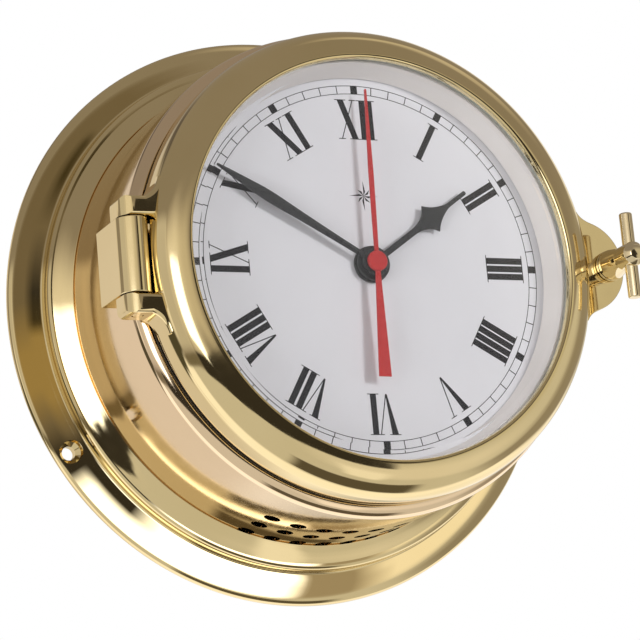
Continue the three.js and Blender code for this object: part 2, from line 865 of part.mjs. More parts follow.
function dialPlate() {
  let solid = ring(bushOuter + fit, dialRadius, dialBack, dialFace);
  for (const place of around(dialFeet, dialFootCircle, 90)) {
    solid = solid.add(pegY(dialFootRadius, place, footNutBack - fit, dialFace - dialThickness / 2));
  }
  return solid;
}

function dialCarrier() {
  const outer = dialRadius - fit;
  let solid = turned([
    [carrierWindow, carrierFront], [outer, carrierFront], [outer, carrierFlangeFront],
    [carrierFlangeRadius, carrierFlangeFront], [carrierFlangeRadius, carrierBack],
    [outer - carrierWall, carrierBack], [outer - carrierWall, carrierFront - carrierWall],
    [carrierWindow, carrierFront - carrierWall],
  ], hiddenSteps);
  for (const place of around(dialFeet, dialFootCircle, 90)) {
    solid = solid.subtract(pegY(dialFootRadius + fit, place, footNutFront, carrierFront + over));
  }
  for (const place of around(carrierScrews, carrierScrewCircle, 60)) {
    solid = solid.subtract(screwHole(place, carrierBack, carrierFlangeFront));
  }
  return solid;
}

function buildDial() {
  piece('dial_plate', dialPlate(), enamel);
  piece('dial_carrier', dialCarrier(), blackPaint);
  const nut = ring(0, 2 * dialFootRadius + fit, footNutBack, footNutFront, 6)
    .subtract(pegY(dialFootRadius + fit, {}, footNutBack - over, footNutFront + over));
  around(dialFeet, dialFootCircle, 90).forEach((place, i) => {
    piece(`dial_foot_nut_${i + 1}`, nut, steel, place);
  });
  around(carrierScrews, carrierScrewCircle, 60).forEach((place, i) => {
    const screw = piece(`carrier_screw_${i + 1}`, slottedScrew(carrierWall + drumWall), steel, place);
    screw.position.y = -carrierBack + fit + headHeight;
  });
}

// Movement
const shaftHole = knobShaft + fit;
const knobPlace = { x: 0, z: knobZ };
const thirdPlace = { x: thirdX, z: 0 };
const fifthPlace = { x: fifthX, z: fifthZ };
const rotorPlace = { x: rotorX, z: rotorZ };

function roundedSquare() {
  const far = moveHalf - moveCorner;
  const shape = new THREE.Shape();
  shape.absarc(far, -far, moveCorner, -Math.PI / 2, 0, false);
  shape.absarc(far, far, moveCorner, 0, Math.PI / 2, false);
  shape.absarc(-far, far, moveCorner, Math.PI / 2, Math.PI, false);
  shape.absarc(-far, -far, moveCorner, Math.PI, 1.5 * Math.PI, false);
  return shape;
}

function movementCase() {
  const room = box([-roomHalf, -roomFront, -roomHalf], [roomHalf, -moveBack, roomHalf]);
  return slab(roundedSquare(), moveBack + moveLid + fit, moveFront, 4)
    .subtract(room)
    .subtract(pegY(bushOuter + fit, {}, roomFront - over, moveFront + over));
}

function movementCover() {
  return slab(roundedSquare(), moveBack, moveBack + moveLid, 4)
    .subtract(pegY(shaftHole, knobPlace, moveBack - over, moveBack + moveLid + over));
}

// A plate across the movement, with holes for the arbors.
function arborPlate(front, centreHole) {
  const back = front - arborPlateThickness;
  let solid = box([-plateHalf, -front, plateLow], [plateHalf, -back, plateHalf])
    .subtract(pegY(centreHole, {}, back - over, front + over))
    .subtract(pegY(shaftHole, knobPlace, back - over, front + over));
  for (const place of [thirdPlace, fifthPlace, rotorPlace]) {
    solid = solid.subtract(pegY(arborRadius + fit, place, back - over, front + over));
  }
  return solid;
}

// A toothed disc: its outline goes from tip to root and back for each tooth.
function toothed(teeth, tip, front, thickness = wheelThickness) {
  const outline = [];
  for (let i = 0; i < 2 * teeth; i += 1) {
    const angle = (Math.PI * i) / teeth;
    const radius = i % 2 ? tip - toothDepth : tip;
    outline.push(new THREE.Vector2(radius * Math.sin(angle), radius * Math.cos(angle)));
  }
  return slab(new THREE.Shape(outline), front - thickness, front);
}

// Tip radii of a wheel and a pinion that mesh over a distance between their arbors.
function tips(distance, wheel, pinion) {
  const share = distance / (wheel + pinion);
  return [share * wheel - tipGap, share * pinion - tipGap];
}

const fifthDistance = Math.hypot(fifthX, fifthZ);
const rotorDistance = Math.hypot(rotorX - fifthX, rotorZ - fifthZ);
const [minuteWheelTip, cannonTip] = tips(knobZ, minuteTeeth, cannonTeeth);
const [hourWheelTip, minutePinionTip] = tips(knobZ, hourTeeth, minutePinionTeeth);
const [thirdWheelTip, secondPinionTip] = tips(thirdX, thirdTeeth, secondPinionTeeth);
const [centreWheelTip, thirdPinionTip] = tips(thirdX, centreTeeth, thirdPinionTeeth);
const [secondWheelTip, fifthPinionTip] = tips(fifthDistance, secondTeeth, fifthPinionTeeth);
const [fifthWheelTip, rotorPinionTip] = tips(rotorDistance, fifthTeeth, rotorTeeth);

function hourWheel() {
  const back = hourLayer - wheelThickness;
  return toothed(hourTeeth, hourWheelTip, hourLayer)
    .subtract(pegY(hourInner, {}, back - over, hourLayer + over))
    .add(ring(hourInner, hourOuter, back, hourHandBack + handThickness, boltSteps));
}

// The centre wheel grips the cannon pinion's pipe, which slips in it when the hands are set.
function centreWheel() {
  return toothed(centreTeeth, centreWheelTip, centreLayer)
    .subtract(pegY(minuteOuter + fit, {}, centreLayer - layerStep, centreLayer + over));
}

function cannonPinion() {
  const back = centreLayer - wheelThickness;
  return toothed(cannonTeeth, cannonTip, minuteLayer)
    .subtract(pegY(minuteInner, {}, minuteLayer - layerStep, minuteLayer + over))
    .add(ring(minuteInner, minuteOuter, back, minuteHandBack + handThickness, boltSteps));
}

function secondWheel() {
  return toothed(secondTeeth, secondWheelTip, secondLayer)
    .add(pegY(secondArbor, {}, bridgeBack, secondHandBack + handThickness))
    .add(toothed(secondPinionTeeth, secondPinionTip, thirdLayer, layerStep));
}

function thirdWheel() {
  return toothed(thirdTeeth, thirdWheelTip, thirdLayer)
    .add(pegY(arborRadius, {}, bridgeBack, middlePlateFront))
    .add(toothed(thirdPinionTeeth, thirdPinionTip, centreLayer, layerStep));
}

function fifthWheel() {
  return toothed(fifthTeeth, fifthWheelTip, fifthLayer)
    .add(pegY(arborRadius, {}, bridgeBack, middlePlateFront))
    .add(toothed(fifthPinionTeeth, fifthPinionTip, secondLayer, layerStep));
}

function rotor() {
  const magnetFront = statorFront + (magnetLength - statorThickness) / 2;
  return pegY(magnetRadius, {}, magnetFront - magnetLength, magnetFront, roundSteps)
    .add(pegY(arborRadius, {}, bridgeBack, middlePlateFront))
    .add(toothed(rotorTeeth, rotorPinionTip, fifthLayer));
}

const knobFront = moveBack - knobGap;
const knobSocket = knobFront - knobHeight / 2;

// The minute wheel, its pinion, and its shaft, which runs back through the cover and into the knob.
function minuteWheel() {
  return toothed(minuteTeeth, minuteWheelTip, minuteLayer)
    .add(toothed(minutePinionTeeth, minutePinionTip, hourLayer))
    .add(pegY(knobShaft, {}, knobSocket, hourLayer));
}

function settingKnob() {
  const back = knobFront - knobHeight;
  const slot = box([-shankRadius, -back - headHeight, -knobRadius], [shankRadius, -back + over, knobRadius]);
  return toothed(knobTeeth, knobRadius, knobFront, knobHeight)
    .subtract(pegY(shaftHole, {}, knobSocket - fit, knobFront + over))
    .subtract(slot);
}

function coil() {
  const half = coilLength / 2;
  const axis = { depth: coilDepth };
  return pegX(coilFlangeRadius - coilFlangeWidth, axis, -half - join, half + join)
    .add(pegX(coilFlangeRadius, axis, -half - coilFlange, -half))
    .add(pegX(coilFlangeRadius, axis, half, half + coilFlange));
}

// The stator: a leg at each end of the coil, and a block that closes round the rotor.
function stator() {
  const back = statorFront - statorThickness;
  const armLow = knobZ + shaftHole + fit;
  const armHigh = coilZ - coilFlangeRadius - fit;
  const left = statorLeft - statorLeg;
  const right = statorRight + statorLeg;
  const poleLow = rotorZ - poleHalf;
  const corners = [
    [rotorX - poleHalf, poleLow], [rotorX + poleHalf, poleLow], [rotorX + poleHalf, armLow], [right, armLow],
    [right, plateHalf], [statorRight, plateHalf], [statorRight, armHigh], [statorLeft, armHigh],
    [statorLeft, plateHalf], [left, plateHalf], [left, armLow], [rotorX - poleHalf, armLow],
  ];
  const shape = new THREE.Shape(corners.map(([x, z]) => new THREE.Vector2(x, z)));
  return slab(shape, back, statorFront)
    .subtract(pegY(magnetRadius + fit, rotorPlace, back - over, statorFront + over, roundSteps));
}

const contactFace = plateHalf - contactThickness;

function battery() {
  const end = contactFace - fit;
  const axis = { depth: batteryDepth, z: batteryZ };
  return pegX(batteryRadius, axis, -end + springLength, end - capLength, roundSteps)
    .add(pegX(capRadius, axis, end - capLength - join, end));
}

function contact() {
  const low = [contactFace, -batteryDepth - contactHalf, batteryZ - contactHalf];
  return box(low, [plateHalf, -batteryDepth + contactHalf, batteryZ + contactHalf]);
}

// The other contact ends in a spring, drawn as the cone that it fills.
function springContact() {
  const spring = new THREE.CylinderGeometry(springRadius / 2, springRadius, springLength, boltSteps);
  spring.rotateZ(-Math.PI / 2);
  spring.translate(-contactFace + springLength / 2 - join, -batteryDepth, batteryZ);
  return contact().mirror([1, 0, 0]).add(toSolid(spring));
}

function buildStack() {
  const padInner = bushOuter + bushFlange + fit;
  const flangeBack = moveFront + fit;
  const flangeFront = flangeBack + bushFlangeThickness;
  const bush = turned([
    [bushInner, roomFront], [bushOuter, roomFront], [bushOuter, flangeBack],
    [bushOuter + bushFlange, flangeBack], [bushOuter + bushFlange, flangeFront],
    [bushOuter, flangeFront], [bushOuter, nutFront], [bushInner, nutFront],
  ], boltSteps);
  const nutInner = bushOuter + fit;
  const pad = ring(padInner, padInner + padWidth, flangeBack, dialBack - fit, roundSteps);
  piece('movement_pad', pad, rubber);
  piece('centre_bush', bush, brass);
  piece('dial_nut', ring(nutInner, nutInner + nutWidth, dialFace + fit, nutFront, roundSteps), blackPaint);
}

function buildMovement() {
  piece('movement_case', movementCase(), blackPlastic);
  piece('movement_cover', movementCover(), blackPlastic);
  piece('middle_plate', arborPlate(middlePlateFront, minuteOuter + fit), whitePlastic);
  piece('back_bridge', arborPlate(bridgeFront, secondArbor + fit), whitePlastic);
  piece('hour_wheel', hourWheel(), whitePlastic);
  piece('centre_wheel', centreWheel(), whitePlastic);
  piece('cannon_pinion', cannonPinion(), whitePlastic);
  piece('second_wheel', secondWheel(), whitePlastic);
  piece('third_wheel', thirdWheel(), whitePlastic, thirdPlace);
  piece('fifth_wheel', fifthWheel(), whitePlastic, fifthPlace);
  piece('rotor', rotor(), steel, rotorPlace);
  piece('minute_wheel', minuteWheel(), whitePlastic, knobPlace);
  piece('setting_knob', settingKnob(), whitePlastic, knobPlace);
}

function buildElectrics() {
  const boardFront = coilDepth + boardThickness / 2;
  const boardLow = [statorRight + statorLeg + fit, -boardFront, plateHalf - boardHeight];
  const board = box(boardLow, [plateHalf, -boardFront + boardThickness, plateHalf]);
  piece('coil', coil(), copper, { x: coilX, z: coilZ });
  piece('stator', stator(), steel);
  piece('circuit_board', board, laminate);
  piece('battery', battery(), batterySleeve);
  piece('battery_contact_plus', contact(), steel);
  piece('battery_contact_minus', springContact(), steel);
}

// Hands, drawn pointing at 12 and turned to the time

// A blade whose outline is its right side, from one end to the other, and the same side mirrored.
function bladeShape(right) {
  const left = right.map(({ x, y }) => new THREE.Vector2(-x, y)).reverse();
  return new THREE.Shape([...right, ...left]);
}

// The hour hand: a thin stem, a spade with hollow sides, and a blunt tip.
function hourHandSide() {
  const start = new THREE.Vector2(hourStem, hourSpadeStart);
  const hollowBefore = new THREE.Vector2(1.5 * hourStem, hourSpadeAt - 1.3);
  const corner = new THREE.Vector2(hourSpade, hourSpadeAt);
  const hollowAfter = new THREE.Vector2(2 * hourNeck, hourSpadeAt + 1.7);
  const end = new THREE.Vector2(hourNeck, hourSpadeEnd);
  const rise = new THREE.QuadraticBezierCurve(start, hollowBefore, corner);
  const fall = new THREE.QuadraticBezierCurve(corner, hollowAfter, end);
  const root = new THREE.Vector2(hourStem, 0);
  const tip = new THREE.Vector2(hourTip, hourReach);
  return [root, ...rise.getPoints(4), ...fall.getPoints(5).slice(1), tip];
}

const minuteHandSide = [[minuteStem, 0], [minuteBelly, minuteBellyAt], [minuteTip, minuteReach]];
const secondHandSide = [
  [tailHalf, -secondTail], [secondStem, 0], [secondBelly, secondBellyAt], [secondTip, secondReach],
];

function toPoints(pairs) {
  return pairs.map(([x, y]) => new THREE.Vector2(x, y));
}

function hand(side, hubRadius, bore, back) {
  const front = back + handThickness;
  return pegY(hubRadius, {}, back, front + hubProud, roundSteps)
    .add(slab(bladeShape(side), back, front))
    .subtract(pegY(bore, {}, back - over, front + over));
}

function secondHand() {
  const front = secondHandBack + handThickness;
  const edge = secondCap / 2;
  const cap = turned([
    [0, secondHandBack], [secondHubRadius, secondHandBack], [secondHubRadius, secondHandTop - edge],
    [secondHubRadius - edge, secondHandTop], [0, secondHandTop],
  ], roundSteps);
  return slab(bladeShape(toPoints(secondHandSide)), secondHandBack, front)
    .add(cap)
    .subtract(pegY(secondArbor + fit, {}, secondHandBack - over, front + fit));
}

function buildHands() {
  const hourAngle = 30 + minuteAngle / 12;
  const hourSolid = hand(hourHandSide(), hourHubRadius, hourOuter + fit, hourHandBack);
  const minuteSolid = hand(toPoints(minuteHandSide), minuteHubRadius, minuteOuter + fit, minuteHandBack);
  piece('hour_hand', hourSolid, blackPaint).rotation.y = radians(hourAngle);
  piece('minute_hand', minuteSolid, blackPaint).rotation.y = radians(minuteAngle);
  piece('second_hand', secondHand(), redPaint).rotation.y = radians(secondAngle);
}

buildCase();
buildFittings();
buildDoor();
buildClamp();
buildDial();
buildStack();
buildMovement();
buildElectrics();
buildHands();

export default clock;
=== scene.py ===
# %% [markdown]
# A polished brass ship's clock hangs on a wall. Its CAD model holds every solid in its place, and this lesson
# dresses that model for a picture: finer shapes where the eye looks, and a real finish on each piece. The
# model is loaded first, as a frame that nothing here may move.

# %% Load the frame
import math

import bmesh
import bpy
from mathutils import Matrix, Vector


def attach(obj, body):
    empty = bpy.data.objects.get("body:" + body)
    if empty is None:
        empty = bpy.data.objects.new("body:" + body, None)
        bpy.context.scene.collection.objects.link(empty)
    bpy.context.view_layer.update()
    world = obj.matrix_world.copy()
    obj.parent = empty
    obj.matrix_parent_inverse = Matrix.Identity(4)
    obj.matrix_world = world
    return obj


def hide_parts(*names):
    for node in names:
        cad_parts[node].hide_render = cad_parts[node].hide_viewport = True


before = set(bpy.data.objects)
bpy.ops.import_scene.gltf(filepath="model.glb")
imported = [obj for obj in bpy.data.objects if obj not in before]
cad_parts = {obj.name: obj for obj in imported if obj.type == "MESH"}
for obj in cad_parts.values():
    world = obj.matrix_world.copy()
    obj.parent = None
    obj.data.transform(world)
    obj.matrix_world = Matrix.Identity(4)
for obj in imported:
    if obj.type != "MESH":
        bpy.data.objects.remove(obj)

scene = bpy.context.scene
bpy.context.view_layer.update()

# %% [markdown]
# The photograph is taken from below and from the left, with a long lens that hardly enlarges what is near. A
# camera needs only a place, a direction and a lens. The direction is given as the line of sight and the way
# up, which is easier to compare with a picture than three angles.

# %% The camera
CAMERA_PLACE = Vector((-0.3589, -0.7766, -0.2039))
CAMERA_SIGHT = Vector((0.4206, 0.8775, 0.2307)).normalized()
CAMERA_UP = Vector((-0.0178, -0.2462, 0.9691))
FOCAL_LENGTH, SENSOR_WIDTH = 158.72, 36

right = CAMERA_SIGHT.cross(CAMERA_UP).normalized()
up = right.cross(CAMERA_SIGHT)
turn = Matrix((right, up, -CAMERA_SIGHT)).transposed().to_4x4()
lens = bpy.data.cameras.new("camera")
lens.lens, lens.sensor_width = FOCAL_LENGTH, SENSOR_WIDTH
camera = bpy.data.objects.new("camera", lens)
camera.matrix_world = Matrix.Translation(CAMERA_PLACE) @ turn
scene.collection.objects.link(camera)
scene.camera = camera
print("Camera to the middle of the flange's back:", round(CAMERA_PLACE.length, 3), "m")

# %% [markdown]
# Nearly all of this clock was turned on a lathe: the flange, the drum, the door ring and the glass. A profile
# turned round the clock's axis is therefore the main tool here. Sizes are in millimetres, a depth is a
# distance from the wall, and the wall is at y = 0 with the dial facing -y. A polished edge is never quite
# sharp, and its small rounding catches the light, so a profile corner may carry a rounding of its own.

# %% Profiles
MM = 0.001
ROUND_STEPS = 6


def rounded(corners):
    """A closed profile of (radius, depth) or (radius, depth, rounding), with each rounding an arc."""
    profile = []
    for i, corner in enumerate(corners):
        here = Vector(corner[:2])
        if len(corner) == 2:
            profile.append(here)
            continue
        back = (Vector(corners[i - 1][:2]) - here).normalized()
        on = (Vector(corners[(i + 1) % len(corners)][:2]) - here).normalized()
        half = back.angle(on) / 2
        start = here + back * corner[2] / math.tan(half)
        end = here + on * corner[2] / math.tan(half)
        middle = here + (back + on).normalized() * corner[2] / math.sin(half)
        first = math.atan2(start.y - middle.y, start.x - middle.x)
        last = math.atan2(end.y - middle.y, end.x - middle.x)
        sweep = (last - first + math.pi) % (2 * math.pi) - math.pi
        profile += arc(middle, corner[2], first, first + sweep, ROUND_STEPS)
    return profile


def arc(middle, radius, first, last, steps):
    """Points of an arc, with its angles in radians."""
    angles = [first + (last - first) * i / steps for i in range(steps + 1)]
    return [Vector((middle[0] + radius * math.cos(a), middle[1] + radius * math.sin(a))) for a in angles]


def through(points, steps=6):
    """A smooth line through points."""
    ends = [Vector(p) for p in (points[0], *points, points[-1])]
    line = []
    for a, b, c, d in zip(ends, ends[1:], ends[2:], ends[3:]):
        for i in range(steps):
            t = i / steps
            line.append((2 * b + (c - a) * t + (2 * a - 5 * b + 4 * c - d) * t * t
                         + (3 * b - a - 3 * c + d) * t ** 3) / 2)
    return line + [ends[-1]]


def bend(start, control, end, steps=12):
    """A curve from start to end that is drawn towards control."""
    a, b, c = Vector(start), Vector(control), Vector(end)
    places = [i / steps for i in range(steps + 1)]
    return [a * (1 - t) ** 2 + b * 2 * t * (1 - t) + c * t * t for t in places]


def box(left, right, low, high):
    """The corners of a rectangle."""
    return [(left, low), (right, low), (right, high), (left, high)]


# %% [markdown]
# A mesh made from points starts with doubled points where a shape closes on itself or on the axis. Merging
# them and then turning the faces outwards gives one closed skin, which booleans and renderers both need. A
# circle is drawn in as many steps as its size asks for.

# %% Solids
DOOR_STEPS, LARGE_STEPS, SEAL_STEPS = 360, 288, 192
HUB_STEPS, FITTING_STEPS, SMALL_STEPS, SCREW_STEPS = 96, 64, 48, 32


def new_piece(name, points, faces):
    """An object at the origin from points in millimetres."""
    mesh = bpy.data.meshes.new(name)
    mesh.from_pydata([Vector(p) * MM for p in points], [], faces)
    work = bmesh.new()
    work.from_mesh(mesh)
    bmesh.ops.remove_doubles(work, verts=work.verts, dist=1e-7)
    bmesh.ops.recalc_face_normals(work, faces=work.faces)
    work.to_mesh(mesh)
    work.free()
    piece = bpy.data.objects.new(name, mesh)
    scene.collection.objects.link(piece)
    return piece


def turned(name, profile, steps=LARGE_STEPS, x=0, z=0):
    """A profile turned round the y axis and set at x and z. It closes on itself or on the axis."""
    profile = rounded(profile)
    points, faces = [], []
    for radius, depth in profile:
        for i in range(steps):
            angle = 2 * math.pi * i / steps
            points.append((x + radius * math.sin(angle), -depth, z + radius * math.cos(angle)))
    rows = len(profile)
    on_axis = profile[0][0] == 0 and profile[-1][0] == 0
    for row in range(rows - 1 if on_axis else rows):
        for i in range(steps):
            a, b = row * steps, (row + 1) % rows * steps
            j = (i + 1) % steps
            faces.append((a + i, a + j, b + j, b + i))
    return new_piece(name, points, faces)


def loft(name, loops):
    """A closed skin over loops of points, with its first and its last loop filled."""
    count = len(loops[0])
    faces = [tuple(range(count)), tuple(range((len(loops) - 1) * count, len(loops) * count))]
    sides = [(i, (i + 1) % count) for i in range(count)]
    for a in range(0, (len(loops) - 1) * count, count):
        faces += [(a + i, a + j, a + j + count, a + i + count) for i, j in sides]
    return new_piece(name, [point for loop in loops for point in loop], faces)


def cut_out(name, outline, low, high, along="y"):
    """A plate cut to an outline: of x and z where it runs along y, of x and depth where it runs along z."""
    if along == "y":
        return loft(name, [[(x, -depth, z) for x, z in outline] for depth in (low, high)])
    return loft(name, [[(x, -depth, z) for x, depth in outline] for z in (low, high)])


def bar(name, radius, low, high, along="z", x=0, depth=0, z=0, steps=SMALL_STEPS):
    """A round bar along y or z."""
    middle = (x, z) if along == "y" else (x, depth)
    return cut_out(name, arc(middle, radius, 0, 2 * math.pi, steps)[:-1], low, high, along)


# %% [markdown]
# Holes and joined shapes are made with booleans, and small edges are eased with a Bevel modifier. Polished
# metal shows every error in a surface's normals, so the last step is Weighted Normal: large flat faces keep
# their own direction, and only the narrow roundings between them turn it. Each modifier is baked into the
# mesh at once.

# %% Cutting, easing and smoothing
def bake(piece):
    """Turns a piece's modifiers into plain mesh."""
    graph = bpy.context.evaluated_depsgraph_get()
    mesh = bpy.data.meshes.new_from_object(piece.evaluated_get(graph))
    piece.modifiers.clear()
    piece.data = mesh
    return piece


def cut(piece, *tools, how="DIFFERENCE"):
    """Cuts a piece by tools, which are used up."""
    for tool in tools:
        step = piece.modifiers.new("cut", "BOOLEAN")
        step.operation, step.object, step.solver = how, tool, "EXACT"
        bake(piece)
        bpy.data.objects.remove(tool)
    return piece


def ease(piece, width, steps=3, corner=35):
    """Rounds the edges that turn by more than corner degrees."""
    step = piece.modifiers.new("ease", "BEVEL")
    step.width, step.segments = width * MM, steps
    step.limit_method, step.angle_limit = "ANGLE", math.radians(corner)
    return bake(piece)


def smooth(piece, corner=32):
    """Shades a piece smooth, with true flats and sharp corners."""
    piece.data.shade_smooth()
    piece.data.set_sharp_from_angle(angle=math.radians(corner))
    step = piece.modifiers.new("weigh", "WEIGHTED_NORMAL")
    step.keep_sharp, step.weight = True, 100
    return bake(piece)


# %% [markdown]
# Repeats, finishes and light are all described by trees of nodes. A few helpers write them: one sets or links
# a node's inputs, one adds a node together with its inputs, and the others make the nodes that are used most.

# %% Nodes
def connect(tree, node, inputs):
    """Links or sets a node's inputs, which are given by name or by number."""
    for key, value in inputs.items():
        if isinstance(value, bpy.types.NodeSocket):
            tree.links.new(value, node.inputs[key])
        else:
            node.inputs[key].default_value = value
    return node


def add(tree, kind, *inputs, operation=None, **named):
    """A new node with its first inputs in their order, and others by name."""
    node = tree.nodes.new(kind)
    if operation:
        node.operation = operation
    connect(tree, node, dict(enumerate(inputs)))
    return connect(tree, node, {key.replace("_", " "): value for key, value in named.items()})


def made(tree, kind, *inputs, **more):
    """What a new node gives at its first output."""
    return add(tree, kind, *inputs, **more).outputs[0]


def maths(tree, operation, *values):
    """What a Math node makes of its values."""
    return made(tree, "ShaderNodeMath", *values, operation=operation)


def mixed(tree, share, a, b):
    """A colour between a and b."""
    node = tree.nodes.new("ShaderNodeMix")
    node.data_type = "RGBA"
    return connect(tree, node, {0: share, 6: a, 7: b}).outputs[2]


def ramp(tree, source, stops):
    """A colour ramp through stops of a position and a colour."""
    node = add(tree, "ShaderNodeValToRGB", source)
    elements = node.color_ramp.elements
    while len(elements) < len(stops):
        elements.new(0.5)
    for element, (position, colour) in zip(elements, stops):
        element.position, element.color = position, (*colour, 1)
    return node.outputs[0]


# %% [markdown]
# Screws, sound holes and minute marks repeat evenly round the clock's axis. One small Geometry Nodes tree
# makes them all: it turns copies of a shape that was drawn at 12 o'clock, in rows that step away from the
# wall. With a boolean at its end, the same tree drills holes in place of adding copies.

# %% Copies round the axis
def round_the_axis(name, drill):
    """A tree that sets copies of Shape round the y axis, or drills a mesh with them."""
    tree = bpy.data.node_groups.new(name, "GeometryNodeTree")
    tree.is_modifier = True
    kinds = {"Geometry": "Geometry", "Shape": "Object", "Columns": "Int", "Rows": "Int",
             "First angle": "Float", "Column step": "Float", "Row step": "Float", "Finish": "Material"}
    for socket, kind in kinds.items():
        tree.interface.new_socket(name=socket, in_out="INPUT", socket_type="NodeSocket" + kind)
    tree.interface.new_socket(name="Geometry", in_out="OUTPUT", socket_type="NodeSocketGeometry")

    given = tree.nodes.new("NodeGroupInput").outputs
    index = made(tree, "GeometryNodeInputIndex")
    row = maths(tree, "FLOOR", maths(tree, "DIVIDE", index, given["Columns"]))
    column = maths(tree, "SUBTRACT", index, maths(tree, "MULTIPLY", row, given["Columns"]))
    angle = maths(tree, "ADD", given["First angle"], maths(tree, "MULTIPLY", column, given["Column step"]))
    forward = maths(tree, "MULTIPLY", maths(tree, "MULTIPLY", row, given["Row step"]), -1.0)
    count = maths(tree, "MULTIPLY", given["Columns"], given["Rows"])
    where = made(tree, "ShaderNodeCombineXYZ", Y=forward)
    points = made(tree, "GeometryNodePoints", Count=count, Position=where)
    euler = made(tree, "ShaderNodeCombineXYZ", Y=angle)
    turn = made(tree, "FunctionNodeEulerToRotation", euler)
    shape = add(tree, "GeometryNodeObjectInfo", Object=given["Shape"]).outputs["Geometry"]
    many = made(tree, "GeometryNodeInstanceOnPoints", Points=points, Instance=shape, Rotation=turn)
    result = made(tree, "GeometryNodeRealizeInstances", many)
    if drill:
        boolean = add(tree, "GeometryNodeMeshBoolean", given["Geometry"], result, operation="DIFFERENCE")
        boolean.solver = "EXACT"
        result = boolean.outputs[0]
    finished = made(tree, "GeometryNodeSetMaterial", Geometry=result, Material=given["Finish"])
    tree.links.new(finished, tree.nodes.new("NodeGroupOutput").inputs[0])
    return tree


add_copies = round_the_axis("copies round the axis", drill=False)
drill_copies = round_the_axis("holes round the axis", drill=True)


def repeat(tree, piece, shape, finish, columns, first=0, step=None, rows=1, row_step=0):
    """Runs a tree on a piece, with angles in degrees and the row step in mm. The shape is used up."""
    values = {"Shape": shape, "Columns": columns, "Rows": rows, "First angle": math.radians(first),
              "Column step": math.radians(step if step else 360 / columns), "Row step": row_step * MM,
              "Finish": finish}
    modifier = piece.modifiers.new(tree.name, "NODES")
    modifier.node_group = tree
    sockets = {s.name: s.identifier for s in tree.interface.items_tree if s.in_out == "INPUT"}
    for name, value in values.items():
        modifier[sockets[name]] = value
    bake(piece)
    bpy.data.objects.remove(shape)
    return piece


def copies(name, shape, finish, *counts, **more):
    """A new piece of copies of a shape."""
    return repeat(add_copies, new_piece(name, [], []), shape, finish, *counts, **more)


# %% [markdown]
# A finish is more than a colour. Each material here reads the piece's own Object coordinates, so a pattern
# stays on the piece when it moves. Most finishes need the same: a noise for the colour, another for the
# gloss, and sometimes a faint relief. A noise is given by its cycles per metre, its detail and its stretch.

# %% Helpers for finishes
NOISE_RANGE = (0.3, 0.7)


def finish(name, colour, roughness, metallic=0.0, specular=0.5):
    """A new material and its main shader."""
    material = bpy.data.materials.new(name)
    material.use_nodes = True
    shader = connect(material.node_tree, material.node_tree.nodes["Principled BSDF"], {
        "Base Color": (*colour, 1), "Roughness": roughness, "Metallic": metallic,
        "Specular IOR Level": specular,
    })
    material.diffuse_color = (*colour, 1)
    return material, shader


def noise(material, scale, detail=3.0, stretch=(1, 1, 1)):
    """A noise on the piece, in cycles per metre."""
    tree = material.node_tree
    where = add(tree, "ShaderNodeTexCoord").outputs["Object"]
    stretched = made(tree, "ShaderNodeMapping", where, Scale=stretch)
    return add(tree, "ShaderNodeTexNoise", stretched, Scale=scale, Detail=detail).outputs["Fac"]


def vary(material, shader, source, low, high):
    """Drives the roughness between two values."""
    spread = made(material.node_tree, "ShaderNodeMapRange", source, *NOISE_RANGE, low, high)
    connect(material.node_tree, shader, {"Roughness": spread})


def tint(material, shader, source, dark, light):
    """Drives the base colour between two colours."""
    colour = ramp(material.node_tree, source, [*zip(NOISE_RANGE, (dark, light))])
    connect(material.node_tree, shader, {"Base Color": colour})


def bump(material, shader, source, height):
    """Adds a bump of a height in millimetres."""
    tree = material.node_tree
    relief = made(tree, "ShaderNodeBump", Strength=1.0, Distance=height * MM, Height=source)
    connect(tree, shader, {"Normal": relief})


def coat(name, dark, light, grain, rough, gloss, metallic=0.0, specular=0.5, relief=None, height=0.0):
    """A material between two colours and two roughnesses, by a noise each, and a relief if it has one."""
    middle = [(a + b) / 2 for a, b in zip(dark, light)]
    material, shader = finish(name, middle, rough[1], metallic, specular)
    tint(material, shader, noise(material, *grain), dark, light)
    vary(material, shader, noise(material, *gloss), *rough)
    if relief:
        bump(material, shader, noise(material, *relief), height)
    return material


# %% [markdown]
# Polished brass is a mirror with a colour of its own. Light that meets it once comes back pale, and light
# that meets it twice comes back golden, which is why the grooves look deeper in colour. The buffing wheel
# leaves the surface very slightly uneven: a soft noise varies the gloss, and a far finer one gives a hint of
# texture.

# %% Metals
ALONG_X = (0.03, 1, 1)
BRASS_LIGHT = (0.84, 0.71, 0.42)


def polished(name, dark, light, *rough):
    """Polished brass between two colours and two roughnesses."""
    return coat(name, dark, light, (35,), rough, (260, 4), 1.0, relief=(900, 2), height=0.0006)


brass = polished("polished cast brass", (0.80, 0.67, 0.38), BRASS_LIGHT, 0.045, 0.085)
bar_brass = polished("polished brass bar", (0.80, 0.69, 0.46), (0.84, 0.73, 0.50), 0.05, 0.09)
tube_brass = polished("polished brass tube", (0.89, 0.72, 0.50), (0.92, 0.745, 0.525), 0.06, 0.1)
rolled_brass = coat("rolled brass sheet", (0.74, 0.59, 0.36), BRASS_LIGHT, (22,), (0.14, 0.3),
                    (900, 4, ALONG_X), 1.0, relief=(2600, 2, ALONG_X), height=0.004)
steel = coat("turned steel", (0.42, 0.42, 0.43), (0.56, 0.56, 0.57), (500,), (0.22, 0.38), (3000, 2), 1.0)

